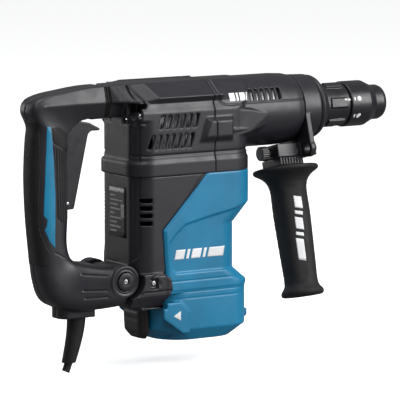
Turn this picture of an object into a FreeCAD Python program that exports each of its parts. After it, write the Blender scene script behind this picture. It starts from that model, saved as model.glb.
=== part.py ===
"""Electric rotary jackhammer: D-handle combination hammer with an upright motor and a quick-change chuck.

Millimetres.  +X runs forward along the spindle, +Y is the user's left, +Z is up.
The origin is on the spindle axis, at the mouth of the steel bore that takes the bit.
Each function below makes one physical piece, and MAKERS at the end says which STEP file it goes to.
"""
import FreeCAD, Part
import math
import os

V = FreeCAD.Vector
X_AXIS, Y_AXIS, Z_AXIS = V(1, 0, 0), V(0, 1, 0), V(0, 0, 1)

# ---------------------------------------------------------------- driving dimensions
WALL = 3.0                  # plastic wall thickness
BODY_HALF = 40.0            # half width of the body
BODY_REAR = -318.0          # rear face of the body
BODY_FRONT = -179.0         # front face of the body, under the barrel
BODY_TOP = 36.0
BODY_SPLIT_Z = -55.0        # crank housing above, motor housing below
COVER_SPLIT_X = -228.0      # crank cover behind, barrel cover in front
REAR_RADIUS = 20.0          # plan radius of the rear corners
FRONT_RADIUS = 25.0         # plan radius of the front corners
WAIST_FRONT = -197.0        # the motor housing draws in under the barrel
BASE_FRONT = -182.0
BASE_REAR = -292.0
BASE_BOTTOM = -222.0
BASE_TOP = -172.0           # joint between motor housing and bottom cover
BASE_RADIUS = 30.0

BARREL_R = 36.5
BARREL_FRONT = -115.0
RING_FRONT = -91.0
RING_R = 34.0
COLLAR_R = 26.0             # machined collar that the side handle clamps on
GAUGE_HOLE = (-36.0, -38.0) # y, z of the depth-gauge hole in the side handle's clamp
GAUGE_HOLE_R = 5.0
LUG_R = 9.0                  # lug round the depth-gauge hole
LUG_LENGTH = 8.0
NOSE_FRONT = -79.2
NECK_FRONT = -49.0
NECK_R = 22.5
LOCK_R = 23.5
LOCK_FRONT = -15.0
SLEEVE_R = 18.0
BIT_R = 5.05                # bore for a 10 mm shank

MOTOR_X = -236.0
CRANK_X = -266.0
CRANK_THROW = 10.0
ROD_LENGTH = 45.0
COUNTER_X = -208.5          # upright countershaft that turns the spindle
GEAR_MODULE = 1.25
PINION_TEETH, CRANK_TEETH, COUNTER_TEETH = 8, 40, 36
BEVEL_MODULE = 1.5
BEVEL_PINION_TEETH, BEVEL_TEETH = 8, 32
GEAR_Z = -50.0              # middle of the spur gears' faces
CYLINDER_R = 16.0
PISTON_R = 13.5
RUNNING = 0.05              # radial running clearance

PIVOT = (-330.0, -157.0)    # x, z of the rear handle's pivot
PIVOT_R = 5.0
CHEEK_R = 16.0
ARM_HALF = 15.2             # top of the lower arm above the pivot
ARM_BOTTOM = -183.5         # underside of the lower arm
LUG_HALF = 21.0             # half width of the lug between the handle's cheeks
CHEEK_HALF = 36.0
ARM_END = -340.0            # front end of the handle's top arm
STUB_END = -334.5           # rear end of the body's arm stub

SIDE_X = -127.0             # side handle's axis crosses the spindle axis here
SIDE_TILT = 14.5            # degrees from straight down, towards the user's right
SIDE_FLANGE_R = 33.5

MODE_KNOB = (-259.0, -12.0) # x, z of the mode knob on the left side
SCREW_PLACES = [(MOTOR_X + dx, dy) for dx in (-22, 22) for dy in (-22, 22)]


# ---------------------------------------------------------------- shape helpers
def box(x0, x1, y0, y1, z0, z1):
    return Part.makeBox(x1 - x0, y1 - y0, z1 - z0, V(x0, y0, z0))


def slab(x0, x1, half, z0, z1):
    """A box centred on the plane Y = 0."""
    return box(x0, x1, -half, half, z0, z1)


def rod_x(x0, x1, r, y=0.0, z=0.0):
    return Part.makeCylinder(r, x1 - x0, V(x0, y, z), X_AXIS)


def rod_y(y0, y1, r, x, z):
    return Part.makeCylinder(r, y1 - y0, V(x, y0, z), Y_AXIS)


def rod_z(z0, z1, r, x, y=0.0):
    return Part.makeCylinder(r, z1 - z0, V(x, y, z0), Z_AXIS)


def turned_x(points):
    """Solid turned about the spindle axis from (x, r) points."""
    wire = Part.makePolygon([V(x, 0, r) for x, r in points + points[:1]])
    return Part.Face(wire).revolve(V(0, 0, 0), X_AXIS, 360)


def turned_z(points, x=0.0, y=0.0):
    """Solid turned about an upright axis from (r, z) points."""
    wire = Part.makePolygon([V(x + r, y, z) for r, z in points + points[:1]])
    return Part.Face(wire).revolve(V(x, y, 0), Z_AXIS, 360)


def tube_x(x0, x1, r_out, r_in):
    return rod_x(x0, x1, r_out).cut(rod_x(x0 - 1, x1 + 1, r_in))


def tube_z(z0, z1, r_out, r_in, x, y=0.0):
    return rod_z(z0, z1, r_out, x, y).cut(rod_z(z0 - 1, z1 + 1, r_in, x, y))


def prism_y(points, y0, y1):
    """Prism across the body from an outline of (x, z) points."""
    wire = Part.makePolygon([V(x, y0, z) for x, z in points + points[:1]])
    return Part.Face(wire).extrude(V(0, y1 - y0, 0))


def prism_x(points, x0, x1):
    """Prism along the body from an outline of (y, z) points."""
    wire = Part.makePolygon([V(x0, y, z) for y, z in points + points[:1]])
    return Part.Face(wire).extrude(V(x1 - x0, 0, 0))


def plan_wire(x0, x1, half, r_rear, r_front, z):
    """Rounded rectangle seen from above, as four lines and four arcs."""
    corners = [
        (x1, -half, r_front, -90), (x1, half, r_front, 0),
        (x0, half, r_rear, 90), (x0, -half, r_rear, 180),
    ]
    arcs = []
    for x, y, r, start in corners:
        cx = x - r if x == x1 else x + r
        cy = y - r if y > 0 else y + r
        points = [
            V(cx + r * math.cos(math.radians(start + t)), cy + r * math.sin(math.radians(start + t)), z)
            for t in (0, 45, 90)
        ]
        arcs.append((points[0], Part.Arc(*points).toShape(), points[2]))
    edges = []
    for i, (first, arc, last) in enumerate(arcs):
        edges += [arc, Part.LineSegment(last, arcs[(i + 1) % 4][0]).toShape()]
    return Part.Wire(edges)


def plan_block(layers, r_rear, r_front):
    """Solid lofted through rounded rectangles: layers of (z, x0, x1, half)."""
    wires = [plan_wire(x0, x1, half, r_rear, r_front, z) for z, x0, x1, half in layers]
    return Part.makeLoft(wires, True, True)


def limb_wire(outer, inner, half_across, inset=0.0, power=2.7, count=24):
    """Smooth closed section of a limb in the XZ plane, between an outer and an inner (x, z) point."""
    middle = ((outer[0] + inner[0]) / 2, (outer[1] + inner[1]) / 2)
    span = math.hypot(outer[0] - inner[0], outer[1] - inner[1])
    nx, nz = (outer[0] - inner[0]) / span, (outer[1] - inner[1]) / span
    points = []
    for i in range(count):
        t = 2 * math.pi * i / count
        c, s = math.cos(t), math.sin(t)
        u = (span / 2 - inset) * math.copysign(abs(c) ** (2 / power), c)
        w = (half_across - inset) * math.copysign(abs(s) ** (2 / power), s)
        points.append(V(middle[0] + nx * u, w, middle[1] + nz * u))
    curve = Part.BSplineCurve()
    curve.interpolate(points, PeriodicFlag=True)
    return Part.Wire(curve.toShape())


def union(shapes):
    result = shapes[0]
    for shape in shapes[1:]:
        result = result.fuse(shape)
    return result.removeSplitter()


def cut_all(shape, tools):
    """Cuts the tools one after another, since they may overlap each other."""
    for tool in tools:
        shape = shape.cut(tool)
    return shape


def mirrored_y(shape):
    return shape.mirror(V(0, 0, 0), Y_AXIS)


def regular_points(sides, r, cx, cz):
    """Corners of a regular polygon as (x, z) points."""
    turns = [2 * math.pi * n / sides for n in range(sides)]
    return [(cx + r * math.cos(t), cz + r * math.sin(t)) for t in turns]


def hexagon_z(x, r, z0, z1):
    """Upright hexagonal prism."""
    points = [V(px, py, z0) for px, py in regular_points(6, r, x, 0)]
    return Part.Face(Part.makePolygon(points + points[:1])).extrude(V(0, 0, z1 - z0))


def frange(start, stop, step):
    """Evenly spaced values from start up to stop."""
    return [start + step * n for n in range(int((stop - start) / step + 1e-6) + 1)]


def coil_x(x0, x1, r, wire_r, turns, z=0.0):
    """Helical spring along X, its wire drawn with flats."""
    steps, sides = 14 * turns, 6
    travel = x1 - x0 - 2 * wire_r
    wires = []
    for n in range(steps + 1):
        turn = 2 * math.pi * turns * n / steps
        x = x0 + wire_r + travel * n / steps
        points = []
        for k in range(sides):
            a = 2 * math.pi * k / sides
            radius = r + wire_r * math.cos(a)
            points.append(V(x + wire_r * math.sin(a), radius * math.cos(turn), z + radius * math.sin(turn)))
        wires.append(Part.makePolygon(points + points[:1]))
    return Part.makeLoft(wires, True, True)


def both_sides(shape):
    return Part.makeCompound([shape, mirrored_y(shape)])


def side_frame(shape):
    """Moves a piece made hanging straight down from the spindle axis to the side handle's place."""
    moved = shape.copy()
    moved.rotate(V(0, 0, 0), X_AXIS, -SIDE_TILT)
    return moved


# ---------------------------------------------------------------- gears
def involute_gear(teeth, module, shift, z0, z1, x, phase=0.0, backlash=0.2):
    """Profile-shifted spur gear with involute flanks about an upright axis; phase turns it, in degrees."""
    pressure = math.radians(20)
    pitch_r = teeth * module / 2
    base_r = pitch_r * math.cos(pressure)
    outer_r = pitch_r + module * (0.75 + shift)
    root_r = pitch_r - module * (1.2 - shift)
    thickness = math.pi * module / 2 + 2 * shift * module * math.tan(pressure) - backlash
    half_tooth = thickness / 2 / pitch_r + math.tan(pressure) - pressure
    start_r = max(base_r, root_r + 0.02)
    flank = []
    for k in range(6):
        r = start_r + (outer_r - start_r) * k / 5
        turn = math.acos(min(1.0, base_r / r))
        flank.append((r, half_tooth - (math.tan(turn) - turn)))
    side = [(root_r, flank[0][1])] + flank
    points = []
    for n in range(teeth):
        middle = math.radians(phase) + 2 * math.pi * n / teeth
        profile = [(r, middle - a) for r, a in side] + [(r, middle + a) for r, a in reversed(side)]
        points += [V(x + r * math.cos(t), r * math.sin(t), z0) for r, t in profile]
    wire = Part.makePolygon(points + points[:1])
    return Part.Face(wire).extrude(V(0, 0, z1 - z0))


def bevel_gear(teeth, mate_teeth, module, apex, axis, across, face, phase, depth):
    """Straight bevel gear whose pitch cone has its tip at apex and opens along axis."""
    pitch_r, reach = teeth * module / 2, mate_teeth * module / 2
    cone = math.atan2(pitch_r, reach)
    small = 1 - face / math.hypot(pitch_r, reach)
    side = axis.cross(across)

    def place(scale, height, turn):
        """Point at a height above the pitch cone, on the large end or the scaled small end."""
        radius = (pitch_r + height * math.cos(cone)) * scale
        along = (reach - height * math.sin(cone)) * scale
        return apex + axis * along + (across * math.cos(turn) + side * math.sin(turn)) * radius

    addendum, dedendum, buried = 0.75 * module, 1.1 * module, 1.4 * module
    tooth_half = math.pi * module * 0.17
    pieces = []
    for n in range(teeth):
        middle = math.radians(phase) + 2 * math.pi * n / teeth
        ends = []
        for scale in (1.0, small):
            corners = []
            for sign, height in ((-1, -buried), (-1, addendum), (1, addendum), (1, -buried)):
                half = tooth_half - height * math.tan(math.radians(20))
                turn = middle + sign * half / (pitch_r + height * math.cos(cone))
                corners.append(place(scale, height, turn))
            ends.append(Part.makePolygon(corners + corners[:1]))
        pieces.append(Part.makeLoft(ends, True, True))
    large_root, small_root = place(1.0, -dedendum, 0), place(small, -dedendum, 0)
    back_rim = large_root + axis * depth
    outline = [apex + axis * (small_root - apex).dot(axis), small_root, large_root, back_rim,
               apex + axis * (back_rim - apex).dot(axis)]
    body = Part.Face(Part.makePolygon(outline + outline[:1])).revolve(apex, axis, 360)
    return body.multiFuse(pieces).removeSplitter()


# ---------------------------------------------------------------- body shells
CRANK_SECTION = [(40, BODY_SPLIT_Z), (40, 8), (36, 17), (19, 35), (15, BODY_TOP)]


def body_section(inset):
    """Half outline of the crank housing, mirrored, drawn in by inset."""
    half = [(y - inset, z - inset if z > 10 else z) for y, z in CRANK_SECTION]
    return half + [(-y, z) for y, z in reversed(half)]


def upper_block(inset):
    """Crank housing block: the section run along X, with plan corners rounded."""
    section = prism_x(body_section(inset), BODY_REAR - 1, BODY_FRONT + 1)
    plan = plan_block(
        [(BODY_SPLIT_Z, BODY_REAR + inset, BODY_FRONT - inset, BODY_HALF - inset),
         (BODY_TOP + 1, BODY_REAR + inset, BODY_FRONT - inset, BODY_HALF - inset)],
        REAR_RADIUS - inset, FRONT_RADIUS - inset)
    return section.common(plan)


def barrel_block(inset):
    """Barrel: a turned shape with a soft shoulder at the front seam."""
    r = BARREL_R - inset
    return turned_x([
        (BODY_FRONT - 45, 0), (BODY_FRONT - 45, r), (BARREL_FRONT - 22, r),
        (BARREL_FRONT - 8, r - 0.8), (BARREL_FRONT, r - 2.5), (BARREL_FRONT, 0)])


def arm_stub(inset):
    """Hexagonal stub at the top rear that meets the rear handle's top arm."""
    outline = [(13, BODY_TOP - 0.5), (17.5, 19), (11, 3), (-11, 3), (-17.5, 19), (-13, BODY_TOP - 0.5)]
    scaled = [(y - math.copysign(inset, y), 19 + (z - 19) * (1 - inset / 17)) for y, z in outline]
    return prism_x(scaled, STUB_END, BODY_REAR + 12)


def slanted_slots(x0, x1, z0, z1, count, lean, y0, y1, width_share=0.52):
    """Row of leaning ventilation slots through the walls between y0 and y1."""
    pitch = (x1 - x0) / count
    slots = []
    for n in range(count):
        a = x0 + pitch * n
        b = a + pitch * width_share
        slots.append(prism_y([(a, z0), (b, z0), (b + lean, z1), (a + lean, z1)], y0, y1))
    return slots


def screw_pocket(x, z, r, depth):
    """Blind round recess for a screw head, on both sides of the body."""
    floor = BODY_HALF - depth
    return [rod_y(-BODY_HALF - 5, -floor, r, x, z), rod_y(floor, BODY_HALF + 5, r, x, z)]


def waist_band(x0, x1):
    """Raised band round the foot of the upper covers."""
    rear, front, half = BODY_REAR - 2.4, BODY_FRONT + 1.5, BODY_HALF + 1.5
    layers = [
        (BODY_SPLIT_Z, rear, front, half),
        (-42, rear, front, half),
        (-38.5, BODY_REAR, BODY_FRONT, BODY_HALF)]
    band = plan_block(layers, REAR_RADIUS + 1.5, FRONT_RADIUS + 1.5).cut(upper_block(1))
    return band.common(box(x0, x1, -60, 60, -60, -30))


def crank_housing_cover():
    """Black cover over the crank, with two rows of vents and a raised panel."""
    outer = union([upper_block(0), arm_stub(0)])
    hollow = union([upper_block(WALL), arm_stub(WALL)])
    shell = outer.cut(hollow)
    raised = prism_x([(38.6, 14.5), (40.2, 17.6), (21.5, 35.8), (19, 34)], -303, COVER_SPLIT_X)
    shell = union([shell, waist_band(-400, COVER_SPLIT_X)] + both_sides(raised).Solids)
    right, left = (-BODY_HALF - 5, -30), (30, BODY_HALF + 5)
    vents = slanted_slots(-294, -246, -8, 5, 6, 4, *right)
    vents += slanted_slots(-306, -253, -28, -14, 7, 5, *right)
    vents += slanted_slots(-301, -277, -8, 5, 3, 4, *left)
    vents += slanted_slots(-306, -283.3, -28, -14, 3, 5, *left)
    vents += screw_pocket(-309, 6, 3.6, 5.3) + [rod_y(30, 50, 6.1, *MODE_KNOB)]
    shell = cut_all(shell, vents)
    return shell.common(box(BODY_REAR - 40, COVER_SPLIT_X, -60, 60, BODY_SPLIT_Z, 60))


def barrel_cover():
    """Black cover round the barrel, with a short row of vents high on each side."""
    outer = union([upper_block(0), barrel_block(0)])
    hollow = union([upper_block(WALL), barrel_block(WALL)])
    bump = prism_y([(-243, -21), (-211, -21), (-211, -2), (-236, -2)], -BODY_HALF - 2.5, BODY_HALF + 2.5)
    bump = bump.cut(slab(-400, 0, BODY_HALF - 1, -60, 60))
    shell = outer.cut(hollow).fuse(bump).fuse(waist_band(COVER_SPLIT_X, 0)).removeSplitter()
    slots = []
    for y0, y1 in ((-60, -15), (15, 60)):
        slots += slanted_slots(-181, -141, 13, 24.5, 6, 1.2, y0, y1, 0.5)
    return cut_all(shell, slots).common(box(COVER_SPLIT_X, 0, -60, 60, BODY_SPLIT_Z, 60))


MOTOR_LAYERS = [
    (BODY_SPLIT_Z, BODY_REAR, BODY_FRONT, 40), (-88, BODY_REAR, BODY_FRONT, 40),
    (-107, BODY_REAR, WAIST_FRONT, 40), (-154, BODY_REAR, WAIST_FRONT, 40),
    (-166, BODY_REAR, BASE_FRONT, 40), (-187, BODY_REAR, BASE_FRONT, 40)]
BASE_LAYERS = [
    (BASE_TOP, BASE_REAR, BASE_FRONT, 41), (-210, BASE_REAR, BASE_FRONT, 41),
    (BASE_BOTTOM, BASE_REAR + 12, BASE_FRONT - 14, 33)]


def inset_layers(layers, inset):
    return [(z, x0 + inset, x1 - inset, half - inset) for z, x0, x1, half in layers]


def motor_block(inset):
    return plan_block(inset_layers(MOTOR_LAYERS, inset), REAR_RADIUS - inset, FRONT_RADIUS - inset)


def base_block(inset):
    return plan_block(inset_layers(BASE_LAYERS, inset), BASE_RADIUS - inset, FRONT_RADIUS - inset)


# Boundary between the black rear cover and the coloured motor housing, seen from the side.
REAR_COVER_EDGE = [(-237, BODY_SPLIT_Z), (-261, -80), (-289, -109), (-286, -150), (-286, -187)]


BRACKET_OUTLINE = [(-325, -151), (-289, -151), (-281, -157), (-279, -168), (-286, -180), (-289, -184.5),
                   (-325, -184.5)]


def rear_cover_prism():
    return prism_y([(-400, BODY_SPLIT_Z)] + REAR_COVER_EDGE + [(-400, -187)], -60, 60)


def pivot_clearance():
    """Space behind the body that the handle's two cheeks turn in."""
    round_cut = rod_y(-60, 60, CHEEK_R + 2, *[PIVOT[0], PIVOT[1]])
    behind = box(-400, PIVOT[0], -60, 60, PIVOT[1] - CHEEK_R - 2, PIVOT[1] + CHEEK_R + 2)
    return union([round_cut, behind]).cut(slab(-420, -200, LUG_HALF, -200, -100))


def rear_cover():
    """Black cover behind the motor, with the lug that carries the handle's pivot."""
    shell = motor_block(0).cut(motor_block(WALL)).common(rear_cover_prism())
    floor = motor_block(1).common(slab(-330, -286, 60, -187, -184))
    bracket = prism_y(BRACKET_OUTLINE, -BODY_HALF - 3, -CHEEK_HALF + 12)
    brackets = both_sides(cut_all(bracket, [motor_block(WALL), slab(-286.5, -270, BODY_HALF + 0.02, -190, -140)]))
    lug = union([
        rod_y(-LUG_HALF, LUG_HALF, 13, *PIVOT),
        slab(PIVOT[0], BODY_REAR + WALL + 1, LUG_HALF, PIVOT[1] - 13, PIVOT[1] + 13)])
    shell = union([shell, floor] + brackets.Solids)
    shell = cut_all(shell, [pivot_clearance()])
    shell = shell.fuse(lug).removeSplitter()
    vents = [box(-312, -301, -45, 45, z, z + 4.2) for z in (-80.5, -88, -95.5, -103)]
    vents += [rod_y(-50, 50, PIVOT_R + 4.05, *PIVOT)] + screw_pocket(-296, -161, 3.2, 1.5)
    return cut_all(shell, vents)


def motor_housing():
    """Coloured housing round the motor, open at the top and bottom."""
    outer = motor_block(0).cut(rear_cover_prism())
    shell = outer.cut(motor_block(WALL))
    return shell.common(box(-400, 0, -60, 60, BASE_TOP, BODY_SPLIT_Z))


def bottom_cover():
    """Coloured cover under the motor, with chamfered foot, side pads and a front hook."""
    hollow = base_block(WALL).common(box(-400, 0, -60, 60, BASE_BOTTOM + WALL, BASE_TOP))
    shell = base_block(0).cut(hollow)
    pad = [(-290, -181.5), (-269, -181.5), (-259.5, -192), (-259.5, -213), (-268, -213), (-290, -197)]
    pads = both_sides(prism_y(pad, -43.0, -38.5)).common(box(-400, 0, -60, 60, -213, -100))
    hook_outline = [(-185, -213), (-173.5, -206), (-173.5, -199), (-178, -199), (-178, -203), (-185, -206)]
    hook = prism_y(hook_outline, -16, 16)
    shell = union([shell, hook] + pads.Solids).cut(box(-400, -285.9, -60, 60, -187.1, -150))
    return cut_all(shell, [rod_z(BASE_BOTTOM - 1, BASE_BOTTOM + 9, 2.6, x, y) for x, y in SCREW_PLACES])


def rear_foot():
    """Black block behind the bottom cover, under the rear cover, with a scalloped back."""
    block = plan_block([(-220.5, -297, -280, 15), (-213, -301.5, -280, 20), (-187.3, -303, -280, 20)], 9, 2)
    scallops = [rod_y(-60, 60, 3.2, -305, z) for z in (-192, -200, -208)]
    return cut_all(block, scallops + [box(-292.3, -200, -60, 60, -230, -180)])


# ---------------------------------------------------------------- rear handle
# Outline of the D in the XZ plane, as (x, z, corner radius), run past both ends and trimmed.
HANDLE_OUTLINE = [
    (ARM_END + 12, 35.2, 0), (-366, 34.2, 60), (-404, 28.6, 60), (-422.5, 21.5, 9), (-417.2, -4, 30),
    (-421.2, -45, 90), (-419.4, -98, 120), (-411.5, -159, 40), (-401.5, -181.5, 16), (-378, -186, 20),
    (-345, -184.5, 20), (PIVOT[0] + 12, ARM_BOTTOM, 0), (PIVOT[0] + 12, PIVOT[1] + ARM_HALF, 0),
    (-347, -140.5, 15), (-379.5, -137.5, 9), (-378.5, -105, 30), (-376.5, -60, 60), (-377.5, -18, 12),
    (-364, 2.5, 9), (ARM_END + 12, 2.5, 0)]
HANDLE_HALF = 17.0


def rounded_wire(corners, y, inset=0.0):
    """Closed wire in the plane Y = y through (x, z, radius) corners, drawn in by inset."""
    count = len(corners)
    edges, ends = [], []
    for i, (x, z, radius) in enumerate(corners):
        here = V(x, y, z)
        before = V(corners[i - 1][0], y, corners[i - 1][1])
        after = V(corners[(i + 1) % count][0], y, corners[(i + 1) % count][1])
        back, on = before - here, after - here
        room = 0.46 * min(back.Length, on.Length)
        back.normalize()
        on.normalize()
        half_angle = back.getAngle(on) / 2
        reach = min(radius / math.tan(half_angle), room) if radius else 0.0
        if reach < 0.01:
            ends.append((here, here))
            continue
        first, last = here + back * reach, here + on * reach
        bisector = (back + on).normalize()
        middle_r = reach * math.tan(half_angle)
        centre = here + bisector * math.hypot(reach, middle_r)
        edges.append(Part.Arc(first, centre - bisector * middle_r, last).toShape())
        ends.append((first, last))
    for i in range(count):
        start, stop = ends[i][1], ends[(i + 1) % count][0]
        edges.append(Part.LineSegment(start, stop).toShape())
    wire = Part.Wire(Part.__sortEdges__(edges))
    return wire if inset == 0 else wire.makeOffset2D(-inset, 2)


def soft_prism(corners, half, inset=0.0):
    """Prism across the body with bevelled long edges; inset draws every side in."""
    steps = [(4.5, half), (1.6, half - 1.8), (0.0, half - 5.5)]
    layers = [(-y + inset, d) for d, y in steps] + [(y - inset, d) for d, y in reversed(steps)]
    wires = [rounded_wire(corners, y, d + inset) for y, d in layers]
    return Part.makeLoft(wires, True, True)


def fork_plan(inset):
    """Plan shape of the lower arm, which widens to the pivot's cheeks."""
    half = CHEEK_HALF - inset
    points = [V(-388, -HANDLE_HALF + inset, -200), V(-352, -half, -200), V(-300, -half, -200),
              V(-300, half, -200), V(-352, half, -200), V(-388, HANDLE_HALF - inset, -200)]
    return Part.Face(Part.makePolygon(points + points[:1])).extrude(V(0, 0, 80))


FORK_OUTLINE = [
    (-392, -183.5, 8), (-378, -186, 20), (-345, -184.5, 20), (PIVOT[0] + 12, ARM_BOTTOM, 0),
    (PIVOT[0] + 12, PIVOT[1] + ARM_HALF, 0), (-347, -140.5, 15), (-366, -138, 10), (-392, -148, 8)]


def handle_solid(inset):
    """Everything inside the rear handle's skin, drawn in by inset."""
    limb = soft_prism(HANDLE_OUTLINE, HANDLE_HALF, inset)
    fork = soft_prism(FORK_OUTLINE, CHEEK_HALF, inset).common(fork_plan(inset))
    return limb.fuse(fork).common(union([box(-500, ARM_END - inset, -60, 60, -20, 60),
                                         box(-500, PIVOT[0] - inset, -60, 60, -200, -19),
                                         box(-500, PIVOT[0] + 3 - inset, -60, 60, -200, PIVOT[1] - 18)]))


STRIPE_OUTLINE = [
    (-407, -1), (-409, -38), (-410, -72), (-406.5, -89), (-406.5, -102), (-399, -121),
    (-398, -72), (-399.5, -38), (-402, -1)]


def stripes(depth):
    """Coloured inlay down each side of the grip, let into it by depth."""
    return both_sides(prism_y(STRIPE_OUTLINE, HANDLE_HALF - depth, HANDLE_HALF + 0.2))


def pad_region():
    """Soft back of the grip, behind the inlay."""
    outline = [(-440, 6), (-411.5, 6), (-412.5, -38), (-413.5, -72), (-410, -89), (-410, -102),
               (-403.5, -124), (-403.5, -134), (-440, -134)]
    return prism_y(outline, -30, 30)


def handle_body():
    """Both halves of the rear handle in one, before the split down the middle."""
    boss = rod_y(-CHEEK_HALF, CHEEK_HALF, CHEEK_R, *PIVOT)
    cord_block = union([slab(-376, -357, 13, -193, -178)] + [rod_z(-193, -178, 13, x) for x in (-376, -357)])
    shell = union([handle_solid(0), boss, cord_block])
    lug_gap = PIVOT[0] - CHEEK_R - 5
    room = union([box(-500, lug_gap - WALL, -60, 60, -200, 60), box(-360, 0, -60, 60, -19, 60)])
    cuts = [
        slab(lug_gap, -300, LUG_HALF + 1, -200, -130),
        handle_solid(WALL).common(room), stripes(1.8), pad_region().cut(handle_solid(1.6)),
        slab(-392, -354, TRIGGER_HALF + 1, -87.5, 5.5),
        rod_y(-60, 60, PIVOT_R + 0.05, *PIVOT),
        rod_y(-60, -CHEEK_HALF + 4, 9.5, *PIVOT), rod_y(CHEEK_HALF - 4, 60, 9.5, *PIVOT),
        rod_z(-194, -170, 6.2, -365.5), rod_z(-190.1, -183.9, 8.6, -365.5)]
    shell = cut_all(shell, cuts)
    bosses = both_sides(rod_y(TRIGGER_HALF + 1.2, HANDLE_HALF - 2, 3.2, *TRIGGER_HINGE))
    return union([shell] + bosses.Solids).cut(rod_y(-14.4, 14.4, 1.55, *TRIGGER_HINGE))


def handle_left():
    return handle_body().common(box(-440, -300, 0, 60, -200, 60))


def handle_right():
    return handle_body().common(box(-440, -300, -60, 0, -200, 60))


def grip_inlays():
    return stripes(1.75)


def grip_pad():
    return handle_solid(0).cut(handle_solid(1.55)).common(pad_region())


TRIGGER_HINGE = (-383.0, -78.0)
TRIGGER_HALF = 10.5


def trigger():
    """Long trigger in the front of the grip, with a lip at the top, hinged at its lower end on a pin."""
    outline = [(-382, 1.5), (-366, 1.5), (-355.2, -0.5), (-344, -6.3), (-343.4, -7.4), (-344.6, -8.7),
               (-353.5, -8.6), (-356.2, -10.8), (-357.2, -14.5), (-372.4, -82), (-374, -84.6),
               (-388, -85.2), (-388, -72), (-383.5, -60)]
    body = prism_y(outline, -TRIGGER_HALF, TRIGGER_HALF)
    front_edges = [e for e in body.Edges if e.Length > 65 and e.BoundBox.XMax > -360]
    return body.makeFillet(1.8, front_edges).cut(rod_y(-20, 20, 1.7, *TRIGGER_HINGE))


def switch_body():
    body = slab(-412, -394, 9, -62, -12)
    terminals = [slab(-408, -398, y, -68, -61) for y in (7, 4)]
    return body.fuse(terminals[0].cut(terminals[1])).removeSplitter()


def bellows():
    """Rubber bellows between the body's arm stub and the rear handle's top arm."""
    x0, x1 = ARM_END + 0.2, STUB_END - 0.2
    step = (x1 - x0) / 2
    folds = []
    for n in range(2):
        places = [(x0 + step * n, 1.6), (x0 + step * (n + 0.5), 0.4), (x0 + step * (n + 1), 1.6)]
        wires = [limb_wire((x, 34.5), (x, 3.5), 17, inset) for x, inset in places]
        folds.append(Part.makeLoft(wires, True, True))
    hole = Part.makeLoft([limb_wire((x, 34.5), (x, 3.5), 17, 4) for x in (x0 - 1, x1 + 1)], True, True)
    return union(folds).cut(hole)


def isolation_spring():
    return coil_x(ARM_END + 1, STUB_END + 18, 8.0, 1.1, 5, 19.0)


def pivot_bolt():
    """Through bolt with a low head at each side."""
    head = rod_y(-CHEEK_HALF - 1, -CHEEK_HALF + 3, 9, *PIVOT)
    bolt = union([rod_y(-CHEEK_HALF, CHEEK_HALF, PIVOT_R, *PIVOT), head, mirrored_y(head)])
    recess = prism_y(regular_points(6, 3.4, *PIVOT), -60, 60).cut(slab(-400, 0, CHEEK_HALF - 2.5, -200, 0))
    return bolt.cut(recess)


def pivot_bushes():
    bushes = []
    for y0, y1 in ((-LUG_HALF, -1), (1, LUG_HALF)):
        outer, inner = rod_y(y0, y1, PIVOT_R + 4, *PIVOT), rod_y(y0 - 1, y1 + 1, PIVOT_R + RUNNING, *PIVOT)
        bushes.append(outer.cut(inner))
    return Part.makeCompound(bushes)


def cord_guard():
    """Tapered rubber boot where the mains cord leaves the handle, bent slightly rearward."""
    wires = []
    for z, x, r in ((-193, -365.5, 9.4), (-205, -366.5, 8.9), (-218, -369, 8.2), (-238, -374.5, 6.9)):
        wires.append(Part.Wire(Part.Circle(V(x, 0, z), Z_AXIS, r).toShape()))
    boot = Part.makeLoft(wires, True, False)
    collar = rod_z(-193, -190, 6.1, -365.5).fuse(rod_z(-190, -184, 8.5, -365.5))
    boot = boot.fuse(collar)
    return boot.cut(cord_solid(0.03))


def cord_solid(extra):
    """Mains cord from inside the handle down through its guard."""
    points = [V(-365.5, 0, -176), V(-365.5, 0, -195), V(-369, 0, -218), V(-374.5, 0, -238), V(-378, 0, -247)]
    curve = Part.BSplineCurve()
    curve.interpolate(points)
    path = Part.Wire(curve.toShape())
    profile = Part.Wire(Part.Circle(points[0], curve.tangent(0)[0], 3.9 + extra).toShape())
    return path.makePipeShell([profile], True, False)


def power_cord():
    return cord_solid(0)


def handle_screws():
    """Five screws that hold the two handle halves together, from the right, and the trigger's pin."""
    places = [(-352, 20), (-398, 18), (-400, -112), (-396, -140), (-372, -162)]
    screws = [rod_y(-11.5, 12, 1.9, x, z).fuse(rod_y(-13.5, -11.5, 3.4, x, z)) for x, z in places]
    return Part.makeCompound(screws + [rod_y(-14.2, 14.2, 1.5, *TRIGGER_HINGE)])


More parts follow.
